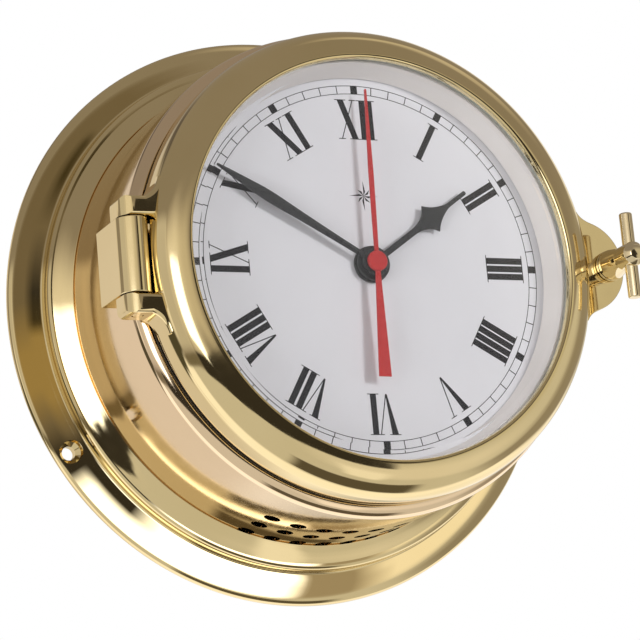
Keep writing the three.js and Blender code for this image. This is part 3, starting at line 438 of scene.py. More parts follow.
copper, shader = finish("enamelled copper wire", (0.6, 0.24, 0.1), 0.3, 1.0)
where = add(copper.node_tree, "ShaderNodeTexCoord").outputs["Object"]
turns = add(copper.node_tree, "ShaderNodeTexWave", where, Scale=2500).outputs["Fac"]
tint(copper, shader, turns, (0.25, 0.08, 0.03), (0.7, 0.3, 0.13))
vary(copper, shader, noise(copper, 800), 0.22, 0.38)

# %% [markdown]
# Enamel, paint and plastic differ mostly in how sharp their shine is and in how even they are. Paint on a
# hand has a fine grain, moulded plastic a spark-eroded skin, and fired enamel only the slightest waviness.

# %% Paints, plastics and rubber
enamel = coat("white enamel", (0.78, 0.78, 0.83), (0.80, 0.80, 0.85), (60,), (0.3, 0.42), (700,))
white_paint = coat("white lacquer", (0.85, 0.81, 0.79), (0.87, 0.83, 0.81), (80,), (0.32, 0.5), (900,))
black_paint = coat("black lacquer", (0.012, 0.012, 0.014), (0.022, 0.022, 0.024), (900,), (0.22, 0.4),
                   (1500,), specular=0.35)
black_ink = coat("printed black", (0.007, 0.006, 0.009), (0.014, 0.012, 0.016), (2500,), (0.4, 0.6), (1200,),
                 specular=0.15)
red_paint = coat("red lacquer", (0.48, 0.022, 0.024), (0.56, 0.032, 0.032), (700,), (0.25, 0.4), (1500,),
                 specular=0.3)
rubber = coat("black rubber", (0.014, 0.014, 0.014), (0.03, 0.03, 0.029), (1200,), (0.6, 0.85), (2000,),
              relief=(2500,), height=0.02)
pale_rubber = coat("pale silicone rubber", (0.80, 0.81, 0.76), (0.84, 0.85, 0.80), (1200,), (0.5, 0.7),
                   (2000,))
black_plastic = coat("moulded black plastic", (0.016, 0.016, 0.017), (0.027, 0.027, 0.028), (400,),
                     (0.4, 0.6), (1500,), relief=(3000,), height=0.015)
white_plastic = coat("moulded white plastic", (0.72, 0.71, 0.67), (0.78, 0.77, 0.73), (300,), (0.38, 0.55),
                     (1200,))
laminate = coat("green circuit laminate", (0.02, 0.12, 0.045), (0.045, 0.2, 0.08), (1500, 2, (1, 1, 0.2)),
                (0.35, 0.55), (1500,))
battery_sleeve = coat("battery sleeve", (0.10, 0.13, 0.18), (0.13, 0.16, 0.21), (120,), (0.3, 0.42),
                      (900,), 0.2)

# %% [markdown]
# Clear glass is all shine and bending of light. In a plain path tracer a pane also keeps the lamps off what
# lies behind it, so rays that only ask for shadow pass straight through, as light passes through a real pane.

# %% Glass
glass, shader = finish("clear glass", (1.0, 1.0, 0.995), 0.0)
connect(glass.node_tree, shader, {"Transmission Weight": 1.0, "IOR": 1.46})
vary(glass, shader, noise(glass, 40), 0.0, 0.006)
tree = glass.node_tree
for_shadow = add(tree, "ShaderNodeLightPath").outputs["Is Shadow Ray"]
passing = made(tree, "ShaderNodeBsdfTransparent")
either = made(tree, "ShaderNodeMixShader", for_shadow, shader.outputs[0], passing)
connect(tree, tree.nodes["Material Output"], {"Surface": either})

# the finishes of each slot, with the one for CAD pieces first
FINISHES = {
    "brass": [brass, bar_brass, tube_brass, rolled_brass], "steel": [steel], "white_paint": [white_paint],
    "dial_white": [enamel], "black_paint": [black_paint, black_ink], "red_paint": [red_paint],
    "clear_glass": [glass], "rubber": [rubber, pale_rubber], "black_plastic": [black_plastic],
    "white_plastic": [white_plastic], "copper": [copper], "laminate": [laminate],
    "battery_sleeve": [battery_sleeve],
}


def place(piece, material, body, *replaced):
    """Gives a finished piece its material, its body and the CAD nodes that it stands for."""
    piece.data.materials.clear()
    piece.data.materials.append(material)
    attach(piece, body)
    if replaced:
        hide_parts(*replaced)
    print(piece.name, len(piece.data.polygons), "faces on", body)
    return piece


# %% [markdown]
# The flange is spun from thick sheet: flat against the wall, with a rolled rim, a shallow dish for the wall
# screws and a tall raised ring that grips the drum. Its three holes are drilled and countersunk, by the tree.

# %% Wall flange
DRUM_RADIUS = 73.5
GRIP = 73.52
FACE = [(90, 1.0), (89.85, 1.9), (89.3, 2.8), (88.3, 3.6), (87.0, 4.35), (85.2, 5.15), (83.4, 5.75),
        (82.0, 6.1), (81.2, 6.4), (80.8, 6.9), (80.7, 7.6)]
RAISED = [(80.7, 9.5), (80.5, 10.9), (79.9, 11.8), (79.0, 12.35), (78.0, 12.8), (76.8, 13.3), (75.5, 13.9),
          (74.4, 14.5), (73.8, 14.8), (GRIP, 14.5)]
RAISED_FRONT = 15.0
WALL_HOLES = 3
WALL_HOLE_CIRCLE = 85.6
WALL_HOLE, WALL_HOLE_MOUTH, WALL_HOLE_FACE = 2.1, 3.4, 3.8

BACK = [(GRIP, 1.8), (78.8, 1.8), (78.8, 0, 0.15), (89.1, 0), (89.6, 0.1), (90, 0.9)]
wall_flange = turned("wall_flange", BACK + through(FACE) + through(RAISED, 5))
wall_hole = turned("wall hole", [
    (0, -1), (WALL_HOLE, -1), (WALL_HOLE, WALL_HOLE_FACE - WALL_HOLE_MOUTH + WALL_HOLE),
    (WALL_HOLE_MOUTH, WALL_HOLE_FACE), (WALL_HOLE_MOUTH, RAISED_FRONT), (0, RAISED_FRONT),
], FITTING_STEPS, z=WALL_HOLE_CIRCLE)
repeat(drill_copies, wall_flange, wall_hole, brass, WALL_HOLES)
place(smooth(wall_flange), brass, "case", "base_flange")

# %% [markdown]
# The drum is a plain tube with a rolled front edge and a lip inside it. Three rows of holes at 6 o'clock let
# the sound of the movement out. They could be modelled one by one, but a grid of drills round the axis is
# exact.

# %% Drum with its sound holes
DRUM_FRONT, DRUM_WALL, DRUM_BACK = 59.0, 1.8, 2.1
LIP_INNER = 66.0
SOUND_COLUMNS, SOUND_ROWS = 7, 3
SOUND_HOLE = 2.5
SOUND_FIRST, SOUND_ROW_STEP, SOUND_COLUMN_STEP = 16.2, 9.65, 6.6

drum = turned("drum", [
    (DRUM_RADIUS - DRUM_WALL, DRUM_BACK), (DRUM_RADIUS, DRUM_BACK, 0.2), (DRUM_RADIUS, DRUM_FRONT, 3.5),
    (LIP_INNER, DRUM_FRONT, 0.4), (LIP_INNER, DRUM_FRONT - DRUM_WALL, 0.2),
    (DRUM_RADIUS - DRUM_WALL, DRUM_FRONT - DRUM_WALL, 1.6),
])
sound_drill = bar("sound drill", SOUND_HOLE, DRUM_RADIUS - 4, DRUM_RADIUS + 2, depth=SOUND_FIRST, steps=40)
first_column = 180 - SOUND_COLUMN_STEP * (SOUND_COLUMNS - 1) / 2
repeat(drill_copies, drum, sound_drill, tube_brass, SOUND_COLUMNS, first_column, SOUND_COLUMN_STEP,
       SOUND_ROWS, SOUND_ROW_STEP)
place(smooth(drum), tube_brass, "case", "case_drum")

# %% [markdown]
# All the small screws of the clock are alike: turned, then slotted. Most of them stand in threes round the
# axis.

# %% Slotted screws
SHANK, HEAD, HEAD_HEIGHT, SLOT = 0.9, 1.6, 0.9, 0.5
SCREWS = 3


def slotted(name, profile, z, slot_back, slot_front):
    """A turned screw with a slot that runs along x."""
    screw = turned(name, profile, SCREW_STEPS, z=z)
    return cut(screw, cut_out("groove", box(-4, 4, z - SLOT / 2, z + SLOT / 2), slot_back, slot_front))


def cheese_screw(name, z, top, length):
    """A screw with a domed head that faces the wall, with its top at a depth."""
    profile = [(0, 0), (HEAD * 0.6, 0.06), (HEAD - 0.2, 0.22), (HEAD, 0.45), (HEAD, HEAD_HEIGHT),
               (SHANK, HEAD_HEIGHT), (SHANK, HEAD_HEIGHT + length), (0, HEAD_HEIGHT + length)]
    return slotted(name, [(radius, top + depth) for radius, depth in profile], z, top - 0.5, top + 0.5)


def three_screws(name, screw, first, body, node):
    """Copies of a screw round the axis, from a first angle, that stand for numbered CAD nodes."""
    screws = copies(name, screw, steel, SCREWS, first)
    return place(smooth(screws), steel, body, *[f"{node}_{i + 1}" for i in range(SCREWS)])


# %% [markdown]
# The back plate lets the battery be changed. It is a disc of rolled sheet that sits in a step of the flange,
# with three countersunk screws.

# %% Back plate
PLATE_RADIUS, PLATE_THICKNESS, PLATE_SCREW_CIRCLE, PLATE_SCREW_FIRST = 78.5, 1.5, 76.15, 60
plate = turned("rear_plate", [
    (0, 0), (PLATE_RADIUS, 0, 0.25), (PLATE_RADIUS, PLATE_THICKNESS), (0, PLATE_THICKNESS),
])
seat = turned("seat", [
    (0, -0.5), (2.72, -0.5), (2.72, 0.02), (1.2, 1.52), (1.2, 3), (0, 3),
], SCREW_STEPS, z=PLATE_SCREW_CIRCLE)
repeat(drill_copies, plate, seat, rolled_brass, SCREWS, PLATE_SCREW_FIRST)
place(smooth(plate), rolled_brass, "case", "back_plate")

plate_screw = slotted("plate screw", [
    (0, 0.02), (2.3, 0.02), (2.4, 0.12), (0.9, 1.5), (0.9, 8.8), (0, 9),
], PLATE_SCREW_CIRCLE, -0.5, 0.5)
three_screws("rear_plate_screws", plate_screw, PLATE_SCREW_FIRST, "case", "back_plate_screw")

# %% [markdown]
# Two more sets of screws hold the dial's carrier and the white ring in the door. The screws of the two
# fittings on the drum lie along x, so they are turned about the clock's axis like the rest and then swung
# over.

# %% Screws inside
CARRIER_CIRCLE, CARRIER_FIRST = 67.7, 60
RING_CIRCLE, RING_FIRST = 63.4, 30
LEAF_SCREW_DEPTH, LEAF_SCREW_END = 53.25, 78.2
CATCH_SCREW_DEPTH, CATCH_SCREW_END = 52.8, 77
HEAD_GAP, END_GAP = 0.15, 0.3

carrier_screw = cheese_screw("carrier screw", CARRIER_CIRCLE, 54.8, 3.6)
three_screws("carrier_screws", carrier_screw, CARRIER_FIRST, "case", "carrier_screw")
ring_screw = cheese_screw("ring screw", RING_CIRCLE, 60.6, 5)
three_screws("sight_ring_screws", ring_screw, RING_FIRST, "door", "glass_ring_screw")


def side_screw(name, side, depth, z, end, node):
    """A screw through the drum's wall, from inside, towards side -1 or 1."""
    seat = math.sqrt((DRUM_RADIUS - DRUM_WALL) ** 2 - (abs(z) + HEAD) ** 2) - HEAD_GAP
    screw = cheese_screw(name, 0, -HEAD_HEIGHT, end - END_GAP - seat)
    swing = Matrix.Rotation(math.radians(90 * side), 4, "Z")
    screw.data.transform(Matrix.Translation(Vector((side * seat, -depth, z)) * MM) @ swing)
    return place(smooth(screw), brass, "case", node)


for name, z, number in (("leaf_screw_low", -7, 1), ("leaf_screw_high", 7, 2)):
    side_screw(name, -1, LEAF_SCREW_DEPTH, z, LEAF_SCREW_END, f"hinge_block_screw_{number}")
side_screw("catch_screw", 1, CATCH_SCREW_DEPTH, 0, CATCH_SCREW_END, "latch_lug_screw")

# %% [markdown]
# The hinge is a block with a flat leaf and a round knuckle, milled from one bar, and a pin through it and the
# door's two lugs. An outline seen from above, drawn out along z, gives the block its sharp machined look.

# %% Hinge
BORE, BORE_BACK = 73.8, 40
HINGE_X, HINGE_DEPTH = -74.4, 66.2
KNUCKLE, KNUCKLE_HALF, LUG_NEAR = 4.8, 11.0, 11.3
PIN, PIN_HALF, PIN_PLAY = 1.6, 17.0, 0.12
LEAF_BACK = 51.0


def drum_room(front):
    """What a fitting leaves free for the drum, up to a depth."""
    return turned("drum room", box(0, BORE, BORE_BACK, front))


def pin_room():
    """A drill for the hinge pin."""
    return bar("pin room", PIN + PIN_PLAY, -PIN_HALF - 3, PIN_HALF + 3, x=HINGE_X, depth=HINGE_DEPTH)


meet = math.acos((-BORE - HINGE_X) / KNUCKLE)
outline = [(HINGE_X - KNUCKLE, LEAF_BACK)]
outline += arc((HINGE_X, HINGE_DEPTH), KNUCKLE, math.pi, -meet, 40)
outline += [(-BORE, DRUM_FRONT), (-BORE + 3.5, LEAF_BACK)]
hinge = cut_out("hinge_leaf", outline, -KNUCKLE_HALF, KNUCKLE_HALF, "z")
cut(hinge, drum_room(DRUM_FRONT + 0.3), pin_room())
place(smooth(ease(hinge, 0.35)), brass, "case", "hinge_block")

pin = bar("hinge_rod", PIN, -PIN_HALF, PIN_HALF, x=HINGE_X, depth=HINGE_DEPTH)
place(smooth(ease(pin, 0.3)), brass, "case", "hinge_pin")

# %% [markdown]
# The catch on the other side of the drum is a small block with a round nose. The tip of the clamp screw
# stands in its hole and holds the door shut.

# %% Catch
CLAMP_X, TIP_ROOM, TIP_ROOM_BACK = 77.0, 2.75, 55.1
CATCH_HALF, CATCH_BACK, CATCH_FRONT, CATCH_CLEAR = 5.0, 50.5, 61.2, 64
outline = [(DRUM_RADIUS - CATCH_HALF, -CATCH_HALF)]
outline += arc((CLAMP_X, 0), CATCH_HALF, -math.pi / 2, math.pi / 2, 32)
outline += [(DRUM_RADIUS - CATCH_HALF, CATCH_HALF)]
catch = cut_out("catch", outline, CATCH_BACK, CATCH_FRONT)
cut(catch, drum_room(CATCH_CLEAR), bar("tip room", TIP_ROOM, TIP_ROOM_BACK, CATCH_CLEAR, "y", x=CLAMP_X))
place(smooth(ease(catch, 0.3)), brass, "case", "latch_lug")

# %% [markdown]
# The door is one casting. Its ring has a plain side, a small step, a broad rounded front and a fine rolled
# lip at the glass. The front is one smooth line through a few measured points, because a polished moulding
# has no facets. Behind the lip are the seats of the glass and of the white ring.

# %% Door ring
DOOR_BACK, DOOR_RADIUS = 61.5, 70.5
SEAT_RADIUS, RECESS_RADIUS = 61.8, 65.3
GLASS_FRONT = 74.1
MOULDING = [(70.2, 69.2), (69.9, 70.4), (69.1, 72.0), (67.8, 73.7), (66.4, 74.85), (65.0, 75.5),
            (63.6, 75.93), (62.2, 76.23), (61.0, 76.37), (60.4, 76.25), (60.05, 75.8), (59.9, 74.9)]

ring_profile = rounded([
    (RECESS_RADIUS, DOOR_BACK, 0.15), (DOOR_RADIUS, DOOR_BACK, 0.5), (DOOR_RADIUS, 68.0), (70.4, 68.6),
])[:-1]
ring_profile += through(MOULDING, 5)
ring_profile += rounded([(59.9, 74.5), (60.0, 74.4, 0.05), (SEAT_RADIUS, 74.4), (SEAT_RADIUS, 63.1),
                         (RECESS_RADIUS, 63.1), (RECESS_RADIUS, 62)])[:-1]
door_ring = turned("door_ring", ring_profile, DOOR_STEPS)
cut(door_ring, bar("knuckle room", KNUCKLE + 0.5, -LUG_NEAR, LUG_NEAR, x=HINGE_X, depth=HINGE_DEPTH))
place(smooth(door_ring), brass, "door", "bezel")

# %% [markdown]
# The two hinge lugs grow out of the ring: square where they face the knuckle, and swept into the ring on
# their other side. Each is a plate with a rounded front edge. It is cut again from above, and its other edges
# are eased by the polishing wheel.

# %% Hinge lugs
PLATE_FRONT = 71.0
LUG_END, LUG_FAR, LUG_ROUND, LUG_NOSE = -78.6, 17.0, 2.2, 4.4
LUG_ROOT, LUG_EDGE, LUG_INSIDE = 23.0, 1.3, -64.6
INSIDE_RING = 66.2


def ring_x(z, radius=INSIDE_RING):
    """How far from the middle a circle of the ring is at a height."""
    return math.sqrt(radius ** 2 - z ** 2)


def rolled_plate(name, outline, low, high, rounding):
    """A plate along y whose front edge is rounded. Its outline may run either way round."""
    around = [*zip(outline[-1:] + outline[:-1], outline, outline[1:] + outline[:1])]
    way = math.copysign(1, sum(u[0] * v[1] - v[0] * u[1] for u, v, _ in around))
    inward = []
    for before, here, after in around:
        sides = [(Vector(here) - Vector(before)).normalized(), (Vector(after) - Vector(here)).normalized()]
        first, last = [Vector((-side.y, side.x)) * way for side in sides]
        middle = (first + last).normalized()
        inward.append(middle / max(middle.dot(first), 0.4))
    loops = [[(x, -low, z) for x, z in outline]]
    for i in range(ROUND_STEPS + 1):
        a = math.pi / 2 * i / ROUND_STEPS
        depth, inset = high - rounding + rounding * math.sin(a), rounding * (1 - math.cos(a))
        loops.append([(x + n.x * inset, -depth, z + n.y * inset) for (x, z), n in zip(outline, inward)])
    return loft(name, loops)


root_x = -ring_x(LUG_ROOT, DOOR_RADIUS)
lug_line = [(-ring_x(LUG_NEAR), LUG_NEAR), (LUG_END, LUG_NEAR), (LUG_END, LUG_FAR - LUG_ROUND)]
lug_line += bend((LUG_END, LUG_FAR - LUG_ROUND), (LUG_END, LUG_FAR), (LUG_END + LUG_ROUND, LUG_FAR), 8)[1:]
lug_line += bend((root_x - 4.8, LUG_FAR), (root_x - 1.2, LUG_FAR + 1.2), (root_x, LUG_ROOT), 14)
lug_line += [(-ring_x(z), z) for z in (LUG_ROOT, 19.0, 15.0)]
plan = [(LUG_INSIDE, DOOR_BACK), (LUG_END, DOOR_BACK)]
plan += arc((LUG_END + LUG_NOSE, PLATE_FRONT - LUG_NOSE), LUG_NOSE, math.pi, math.pi / 2, 16)
plan += [(LUG_INSIDE, PLATE_FRONT)]

for name, side in (("upper_lug", 1), ("lower_lug", -1)):
    lug = rolled_plate(name, [(x, side * z) for x, z in lug_line], DOOR_BACK, PLATE_FRONT, LUG_EDGE)
    cut(lug, cut_out("plan", plan, -30, 30, "z"), how="INTERSECT")
    cut(lug, pin_room())
    place(smooth(ease(lug, 0.25, 3, 40)), brass, "door")

# %% [markdown]
# The ear on the other side is a flat round lobe, polished like a mirror, that carries the clamp screw.

# %% Clamp ear
EAR, EAR_REACH, EAR_SWEEP, NECK_ROOM = 14.2, 82.0, 2.8, 2.6
lobe = EAR_REACH - EAR
lobe_end = math.radians(72)
root_z = EAR + EAR_SWEEP
root_x = ring_x(root_z, DOOR_RADIUS - 0.5)
lobe_corner = (lobe + EAR * math.cos(lobe_end), EAR * math.sin(lobe_end))
sweep = bend(lobe_corner, (root_x + EAR_SWEEP / 3, EAR + EAR_SWEEP / 5), (root_x, root_z))
outline = [(x, -z) for x, z in reversed(sweep)] + arc((lobe, 0), EAR, -lobe_end, lobe_end, 64)[1:-1] + sweep
outline += [(ring_x(z), z) for z in (root_z, 12, 6, 0, -6, -12, -root_z)]
ear = cut_out("clamp_ear", outline, DOOR_BACK, PLATE_FRONT)
cut(ear, bar("neck room", NECK_ROOM, 55, 80, "y", x=CLAMP_X))
place(smooth(ease(ear, 0.3)), brass, "door")

# %% [markdown]
# The T-screw is turned as a cone that widens towards the ear, with a collar at its foot. Its crossbar is a
# plain rod through the boss, and a washer keeps the collar from marking the ear.

# %% Clamp screw
BAR_DEPTH, BAR_RADIUS, BAR_HALF = 83.5, 1.95, 13.0
spindle = turned("clamp_spindle", [
    (0, 56.1), (1.6, 56.1), (2.2, 56.7, 0.15), (2.2, 61.8, 0.1), (1.6, 62.4, 0.1), (1.6, 72.4),
    (4.6, 72.4, 0.25), (4.6, 73.6, 0.4), (3.4, 79.7, 0.5), (3.7, 80.3, 0.25), (3.7, 86.2, 0.9),
    (2.2, 87.7, 0.8), (0, 87.9),
], FITTING_STEPS, x=CLAMP_X)
cut(spindle, bar("bar room", BAR_RADIUS + 0.08, -8, 8, x=CLAMP_X, depth=BAR_DEPTH))
place(smooth(spindle), bar_brass, "clamp", "clamp_screw")

crossbar = bar("clamp_crossbar", BAR_RADIUS, -BAR_HALF, BAR_HALF, x=CLAMP_X, depth=BAR_DEPTH)
place(smooth(ease(crossbar, 0.5, 5)), bar_brass, "clamp", "clamp_bar")

washer = turned("clamp_shim", [
    (1.9, 71.3, 0.1), (4.7, 71.3, 0.2), (4.7, 72.1, 0.2), (1.9, 72.1, 0.1),
], FITTING_STEPS, x=CLAMP_X)
place(smooth(washer), brass, "clamp_carriage", "clamp_washer")

# %% [markdown]
# The glass is a flat disc with a bevelled front edge. It is pressed against the door's lip by a white ring,
# over a rubber gasket, and the ring's inside is the pale wall between the glass and the dial. A second rubber
# ring seals the door against the drum. All four are plain turned profiles.

# %% Glass, white ring and seals
GLASS_BACK, GLASS_RADIUS = 71.7, 61.5
pane = turned("glass_pane", [
    (0, GLASS_BACK), (GLASS_RADIUS, GLASS_BACK), (GLASS_RADIUS, GLASS_FRONT - 1), (57, GLASS_FRONT),
    (0, GLASS_FRONT),
])
place(smooth(pane, 5), glass, "door", "glass")

cushion = turned("glass_cushion", [
    (60.3, 70.6, 0.15), (61.76, 70.6, 0.1), (61.76, 74.2), (61.54, 74.2), (61.54, 71.4), (60.3, 71.4, 0.2),
], SEAL_STEPS)
place(smooth(cushion), pale_rubber, "door", "glass_gasket")

sight = turned("sight_ring", [
    (57, 64.3, 0.25), (57.8, 64.3, 0.1), (57.8, 65.1, 0.1), (60.3, 65.1), (60.3, 61.8, 0.15), (65, 61.8, 0.2),
    (65, 62.8, 0.2), (61.5, 62.8), (61.5, 70.3, 0.2), (60.2, 70.3), (60.2, 71.6), (59.5, 71.6, 0.2),
    (59.1, 70.3, 0.4),
])
place(smooth(sight), white_paint, "door", "glass_ring")

seal = turned("door_gasket", [
    (66.6, 59.3, 0.3), (69.6, 59.3, 0.3), (69.6, 61.2, 0.8), (66.6, 61.2, 0.8),
], SEAL_STEPS)
place(smooth(seal), rubber, "case", "door_seal")

# %% [markdown]
# The dial is an enamelled disc on a black carrier. Two feet behind it are held by nuts.

# %% Dial and carrier
DIAL_BACK, DIAL_FACE, DIAL_RADIUS, DIAL_HOLE = 63.2, 64.0, 59.3, 4.2
FOOT, FOOT_PLACE, FOOT_ROOM, SCREW_ROOM = 1.2, 50, 1.5, 1.2
dial = turned("dial_disc", [
    (DIAL_HOLE, DIAL_BACK), (DIAL_RADIUS, DIAL_BACK), (DIAL_RADIUS, DIAL_FACE, 0.15),
    (DIAL_HOLE, DIAL_FACE, 0.1),
])
for side in (-1, 1):
    cut(dial, bar("foot", FOOT, 59.2, DIAL_FACE - 0.4, "y", x=FOOT_PLACE * side), how="UNION")
place(smooth(dial), enamel, "case", "dial_plate")

cradle = turned("dial_cradle", [
    (42, 62.9, 0.2), (59, 62.9, 0.4), (59, 56.9, 0.3), (69.4, 56.9, 0.3), (69.4, 55.4), (57.5, 55.4),
    (57.5, 61.4), (42, 61.4),
])
foot_room = bar("foot room", FOOT_ROOM, 60, 64, "y", z=FOOT_PLACE)
repeat(drill_copies, cradle, foot_room, black_paint, 2, 90)
screw_room = bar("screw room", SCREW_ROOM, 54, 58, "y", z=CARRIER_CIRCLE)
repeat(drill_copies, cradle, screw_room, black_paint, SCREWS, CARRIER_FIRST)
place(smooth(cradle), black_paint, "case", "dial_carrier")

dial_nut = turned("dial_centre_nut", [
    (4.2, 64.3), (5.5, 64.3, 0.15), (5.5, 65.4, 0.3), (4.2, 65.4, 0.15),
], HUB_STEPS)
place(smooth(dial_nut), black_paint, "case", "dial_nut")

# %% [markdown]
# The numbers are printed, thin enough to lie flat and thick enough to have an edge. Each Roman numeral stands
# with its feet towards the centre. It is drawn from straight strokes in its own small frame: u across, v
# outwards. Thick strokes slope one way, hairlines the other, and a hairline serif closes every end.

# %% Roman numerals
INK_BACK, INK_FRONT = DIAL_FACE - 0.03, DIAL_FACE + 0.04
NUMERAL_LOW, NUMERAL_HIGH = 38.5, 50.45
THICK, HAIR, SERIF, SERIF_OUT = 1.9, 0.3, 0.24, 0.85
BARS = {1: [0], 2: [-1.2, 1.2], 3: [-2.4, 0, 2.4], 4: [-3.5, -1.17, 1.17, 3.5], 6: [3.15], 7: [2.05, 4.7],
        8: [1.05, 3.5, 5.95], 9: [-2.25], 11: [3.2], 12: [2.15, 4.5]}
# a V's thick stroke at its top, its foot, and its hairline at its top
VEES = {5: (-1.9, 0, 3.0), 6: (-3.05, -1.15, 1.55), 7: (-3.5, -1.65, 0.6), 8: (-4.75, -2.65, -0.5)}
# an X's thick stroke at its top and its foot, then its hairline at its top and its foot
EXES = {9: (0.6, 4.3, 4.8, -0.3), 10: (-2.1, 2.1, 1.9, -2.4), 11: (-3.6, 0, 0, -3.9),
        12: (-4.9, -0.8, -0.9, -5.1)}


def stroke(top, foot, width, foot_width=None):
    """A stroke from the top of a numeral to its foot, as four corners."""
    low = width if foot_width is None else foot_width
    return [(foot - low / 2, NUMERAL_LOW), (foot + low / 2, NUMERAL_LOW), (top + width / 2, NUMERAL_HIGH),
            (top - width / 2, NUMERAL_HIGH)]


def serif(u, v, half):
    """A hairline across the end of a stroke."""
    return box(u - half, u + half, v - SERIF / 2, v + SERIF / 2)


def strokes_of(hour):
    """All strokes and serifs of a numeral."""
    wide, narrow = THICK / 2 + SERIF_OUT, SERIF_OUT + 0.25
    shapes = []
    for u in BARS.get(hour, []):
        shapes += [stroke(u, u, THICK), serif(u, NUMERAL_HIGH, wide), serif(u, NUMERAL_LOW, wide)]
    if hour in VEES:
        top, foot, hair = VEES[hour]
        shapes += [stroke(top, foot + 0.1, THICK + 0.15, 0.5), stroke(hair, foot + 0.2, HAIR)]
        shapes += [serif(top, NUMERAL_HIGH, wide), serif(hair, NUMERAL_HIGH, narrow)]
    if hour in EXES:
        top, foot, hair, hair_foot = EXES[hour]
        shapes += [stroke(top, foot, THICK + 0.1), stroke(hair, hair_foot, HAIR)]
        shapes += [serif(top, NUMERAL_HIGH, wide), serif(foot, NUMERAL_LOW, wide)]
        shapes += [serif(hair, NUMERAL_HIGH, narrow), serif(hair_foot, NUMERAL_LOW, narrow)]
    return shapes


def printed(name, shapes):
    """One piece of ink from flat shapes on the dial, each a list of (x, z)."""
    points, faces = [], []
    for shape in shapes:
        first, count = len(points), len(shape)
        points += [(x, -depth, z) for depth in (INK_BACK, INK_FRONT) for x, z in shape]
        back, front = range(first, first + count), range(first + count, first + 2 * count)
        faces += [tuple(back), tuple(front)]
        faces += [(back[i - 1], back[i], front[i], front[i - 1]) for i in range(count)]
    return new_piece(name, points, faces)


def on_dial(shape, degrees):
    """Turns a shape from 12 o'clock to an angle on the dial."""
    s, c = math.sin(math.radians(degrees)), math.cos(math.radians(degrees))
    return [(u * c + v * s, v * c - u * s) for u, v in shape]


shapes = [on_dial(shape, 30 * hour) for hour in range(1, 13) for shape in strokes_of(hour)]
place(printed("dial_numerals", shapes), black_ink, "case")

# %% [markdown]
# The minute track is two fine circles with a mark for each minute and a block for every fifth. Sixty marks
# are a natural job for the copying tree.

# %% Minute track
TRACK_LOW, TRACK_HIGH, TRACK_LINE = 52.45, 54.95, 0.2


def mark(name, half):
    """A mark at 12 o'clock, from circle to circle."""
    return printed(name, [box(-half, half, TRACK_LOW, TRACK_HIGH)])


place(copies("minute_marks", mark("mark", 0.13), black_ink, 60), black_ink, "case")
place(copies("five_minute_blocks", mark("block", 1.08), black_ink, 12), black_ink, "case")
for name, radius in (("track_inner_line", TRACK_LOW), ("track_outer_line", TRACK_HIGH)):
    line = box(radius - TRACK_LINE / 2, radius + TRACK_LINE / 2, INK_BACK, INK_FRONT)
    place(turned(name, line, DOOR_STEPS), black_ink, "case")

# %% [markdown]
# Below XII stands a small plain compass star, a common ornament for a clock at sea. Every second facet is
# inked, which makes a flat star look folded.

# %% Compass star
STAR_HEIGHT, STAR_TIPS, STAR_WAIST = 21.0, (4.6, 2.7), 1.52


def from_star(reach, degrees):
    """A point at a distance from the star's middle."""
    a = math.radians(degrees)
    return reach * math.sin(a), STAR_HEIGHT + reach * math.cos(a)


facets = [[(0, STAR_HEIGHT), from_star(STAR_TIPS[i % 2], 45 * i), from_star(STAR_WAIST, 45 * i + 22.5)]
          for i in range(8)]
place(printed("compass_star", facets), black_ink, "case")

# %% [markdown]
# The hands are stamped from sheet. The hour hand is a flat spade, the minute hand a long leaf with a ridge
# along its middle, and the second hand a fine needle with a broad tail that balances it. A ridge is made by
# raising the middle line of the blade, so that its two halves face different ways and take different light.

# %% Hands
HOUR_BACK, MINUTE_BACK, SECOND_BACK = 65.9, 67.2, 68.5
HUB_BORE = (55, 68.9)
MINUTE_ANGLE, SECOND_ANGLE = 300.5, 1.5
HOUR_ANGLE = 30 + MINUTE_ANGLE / 12


def blade(name, stations, back, ridge=0.0, thickness=0.5):
    """A hand at 12 o'clock from (distance, half width) pairs, with a ridge along its middle."""
    front = back + thickness
    return loft(name, [[(-half, -back, v), (half, -back, v), (half, -front, v), (0, -front - ridge, v),
                        (-half, -front, v)] for v, half in stations])


def set_hand(piece, degrees, hub, bore):
    """Joins a hand with its turned hub, bores it and turns it to its time."""
    cut(piece, turned("hub", hub, HUB_STEPS), how="UNION")
    cut(piece, bar("bore", bore, *HUB_BORE, "y"))
    piece.data.transform(Matrix.Rotation(math.radians(degrees), 4, "Y"))
    return smooth(piece, 25)


spade = bend((0.95, 17), (1.0, 22.6), (4.6, 24.7)) + bend((4.6, 24.7), (1.75, 27.2), (0.7, 32))[1:]
spade = [(0, 0.95), (10, 0.95), *[(v, half) for half, v in spade], (36, 0.66), (39.3, 0.64), (39.7, 0.35)]
hour_hub = [(0, HOUR_BACK), (5.2, HOUR_BACK, 0.1), (5.2, 66.7, 0.25), (0, 66.7)]
hour = set_hand(blade("hour_spade", spade, HOUR_BACK), HOUR_ANGLE, hour_hub, 2.85)
place(hour, black_paint, "hour", "hour_hand")

leaf = through([(0, 0.85), (12, 0.95), (26, 1.35), (37, 1.72), (45, 1.25), (54.2, 0.4), (54.5, 0.2)])
minute_hub = [(0, MINUTE_BACK), (4.1, MINUTE_BACK, 0.1), (4.1, 68.0, 0.3), (0, 68.0)]
minute = blade("minute_blade", leaf, MINUTE_BACK, ridge=0.28, thickness=0.3)
minute = set_hand(minute, MINUTE_ANGLE, minute_hub, 1.75)
place(minute, black_paint, "minute", "minute_hand")

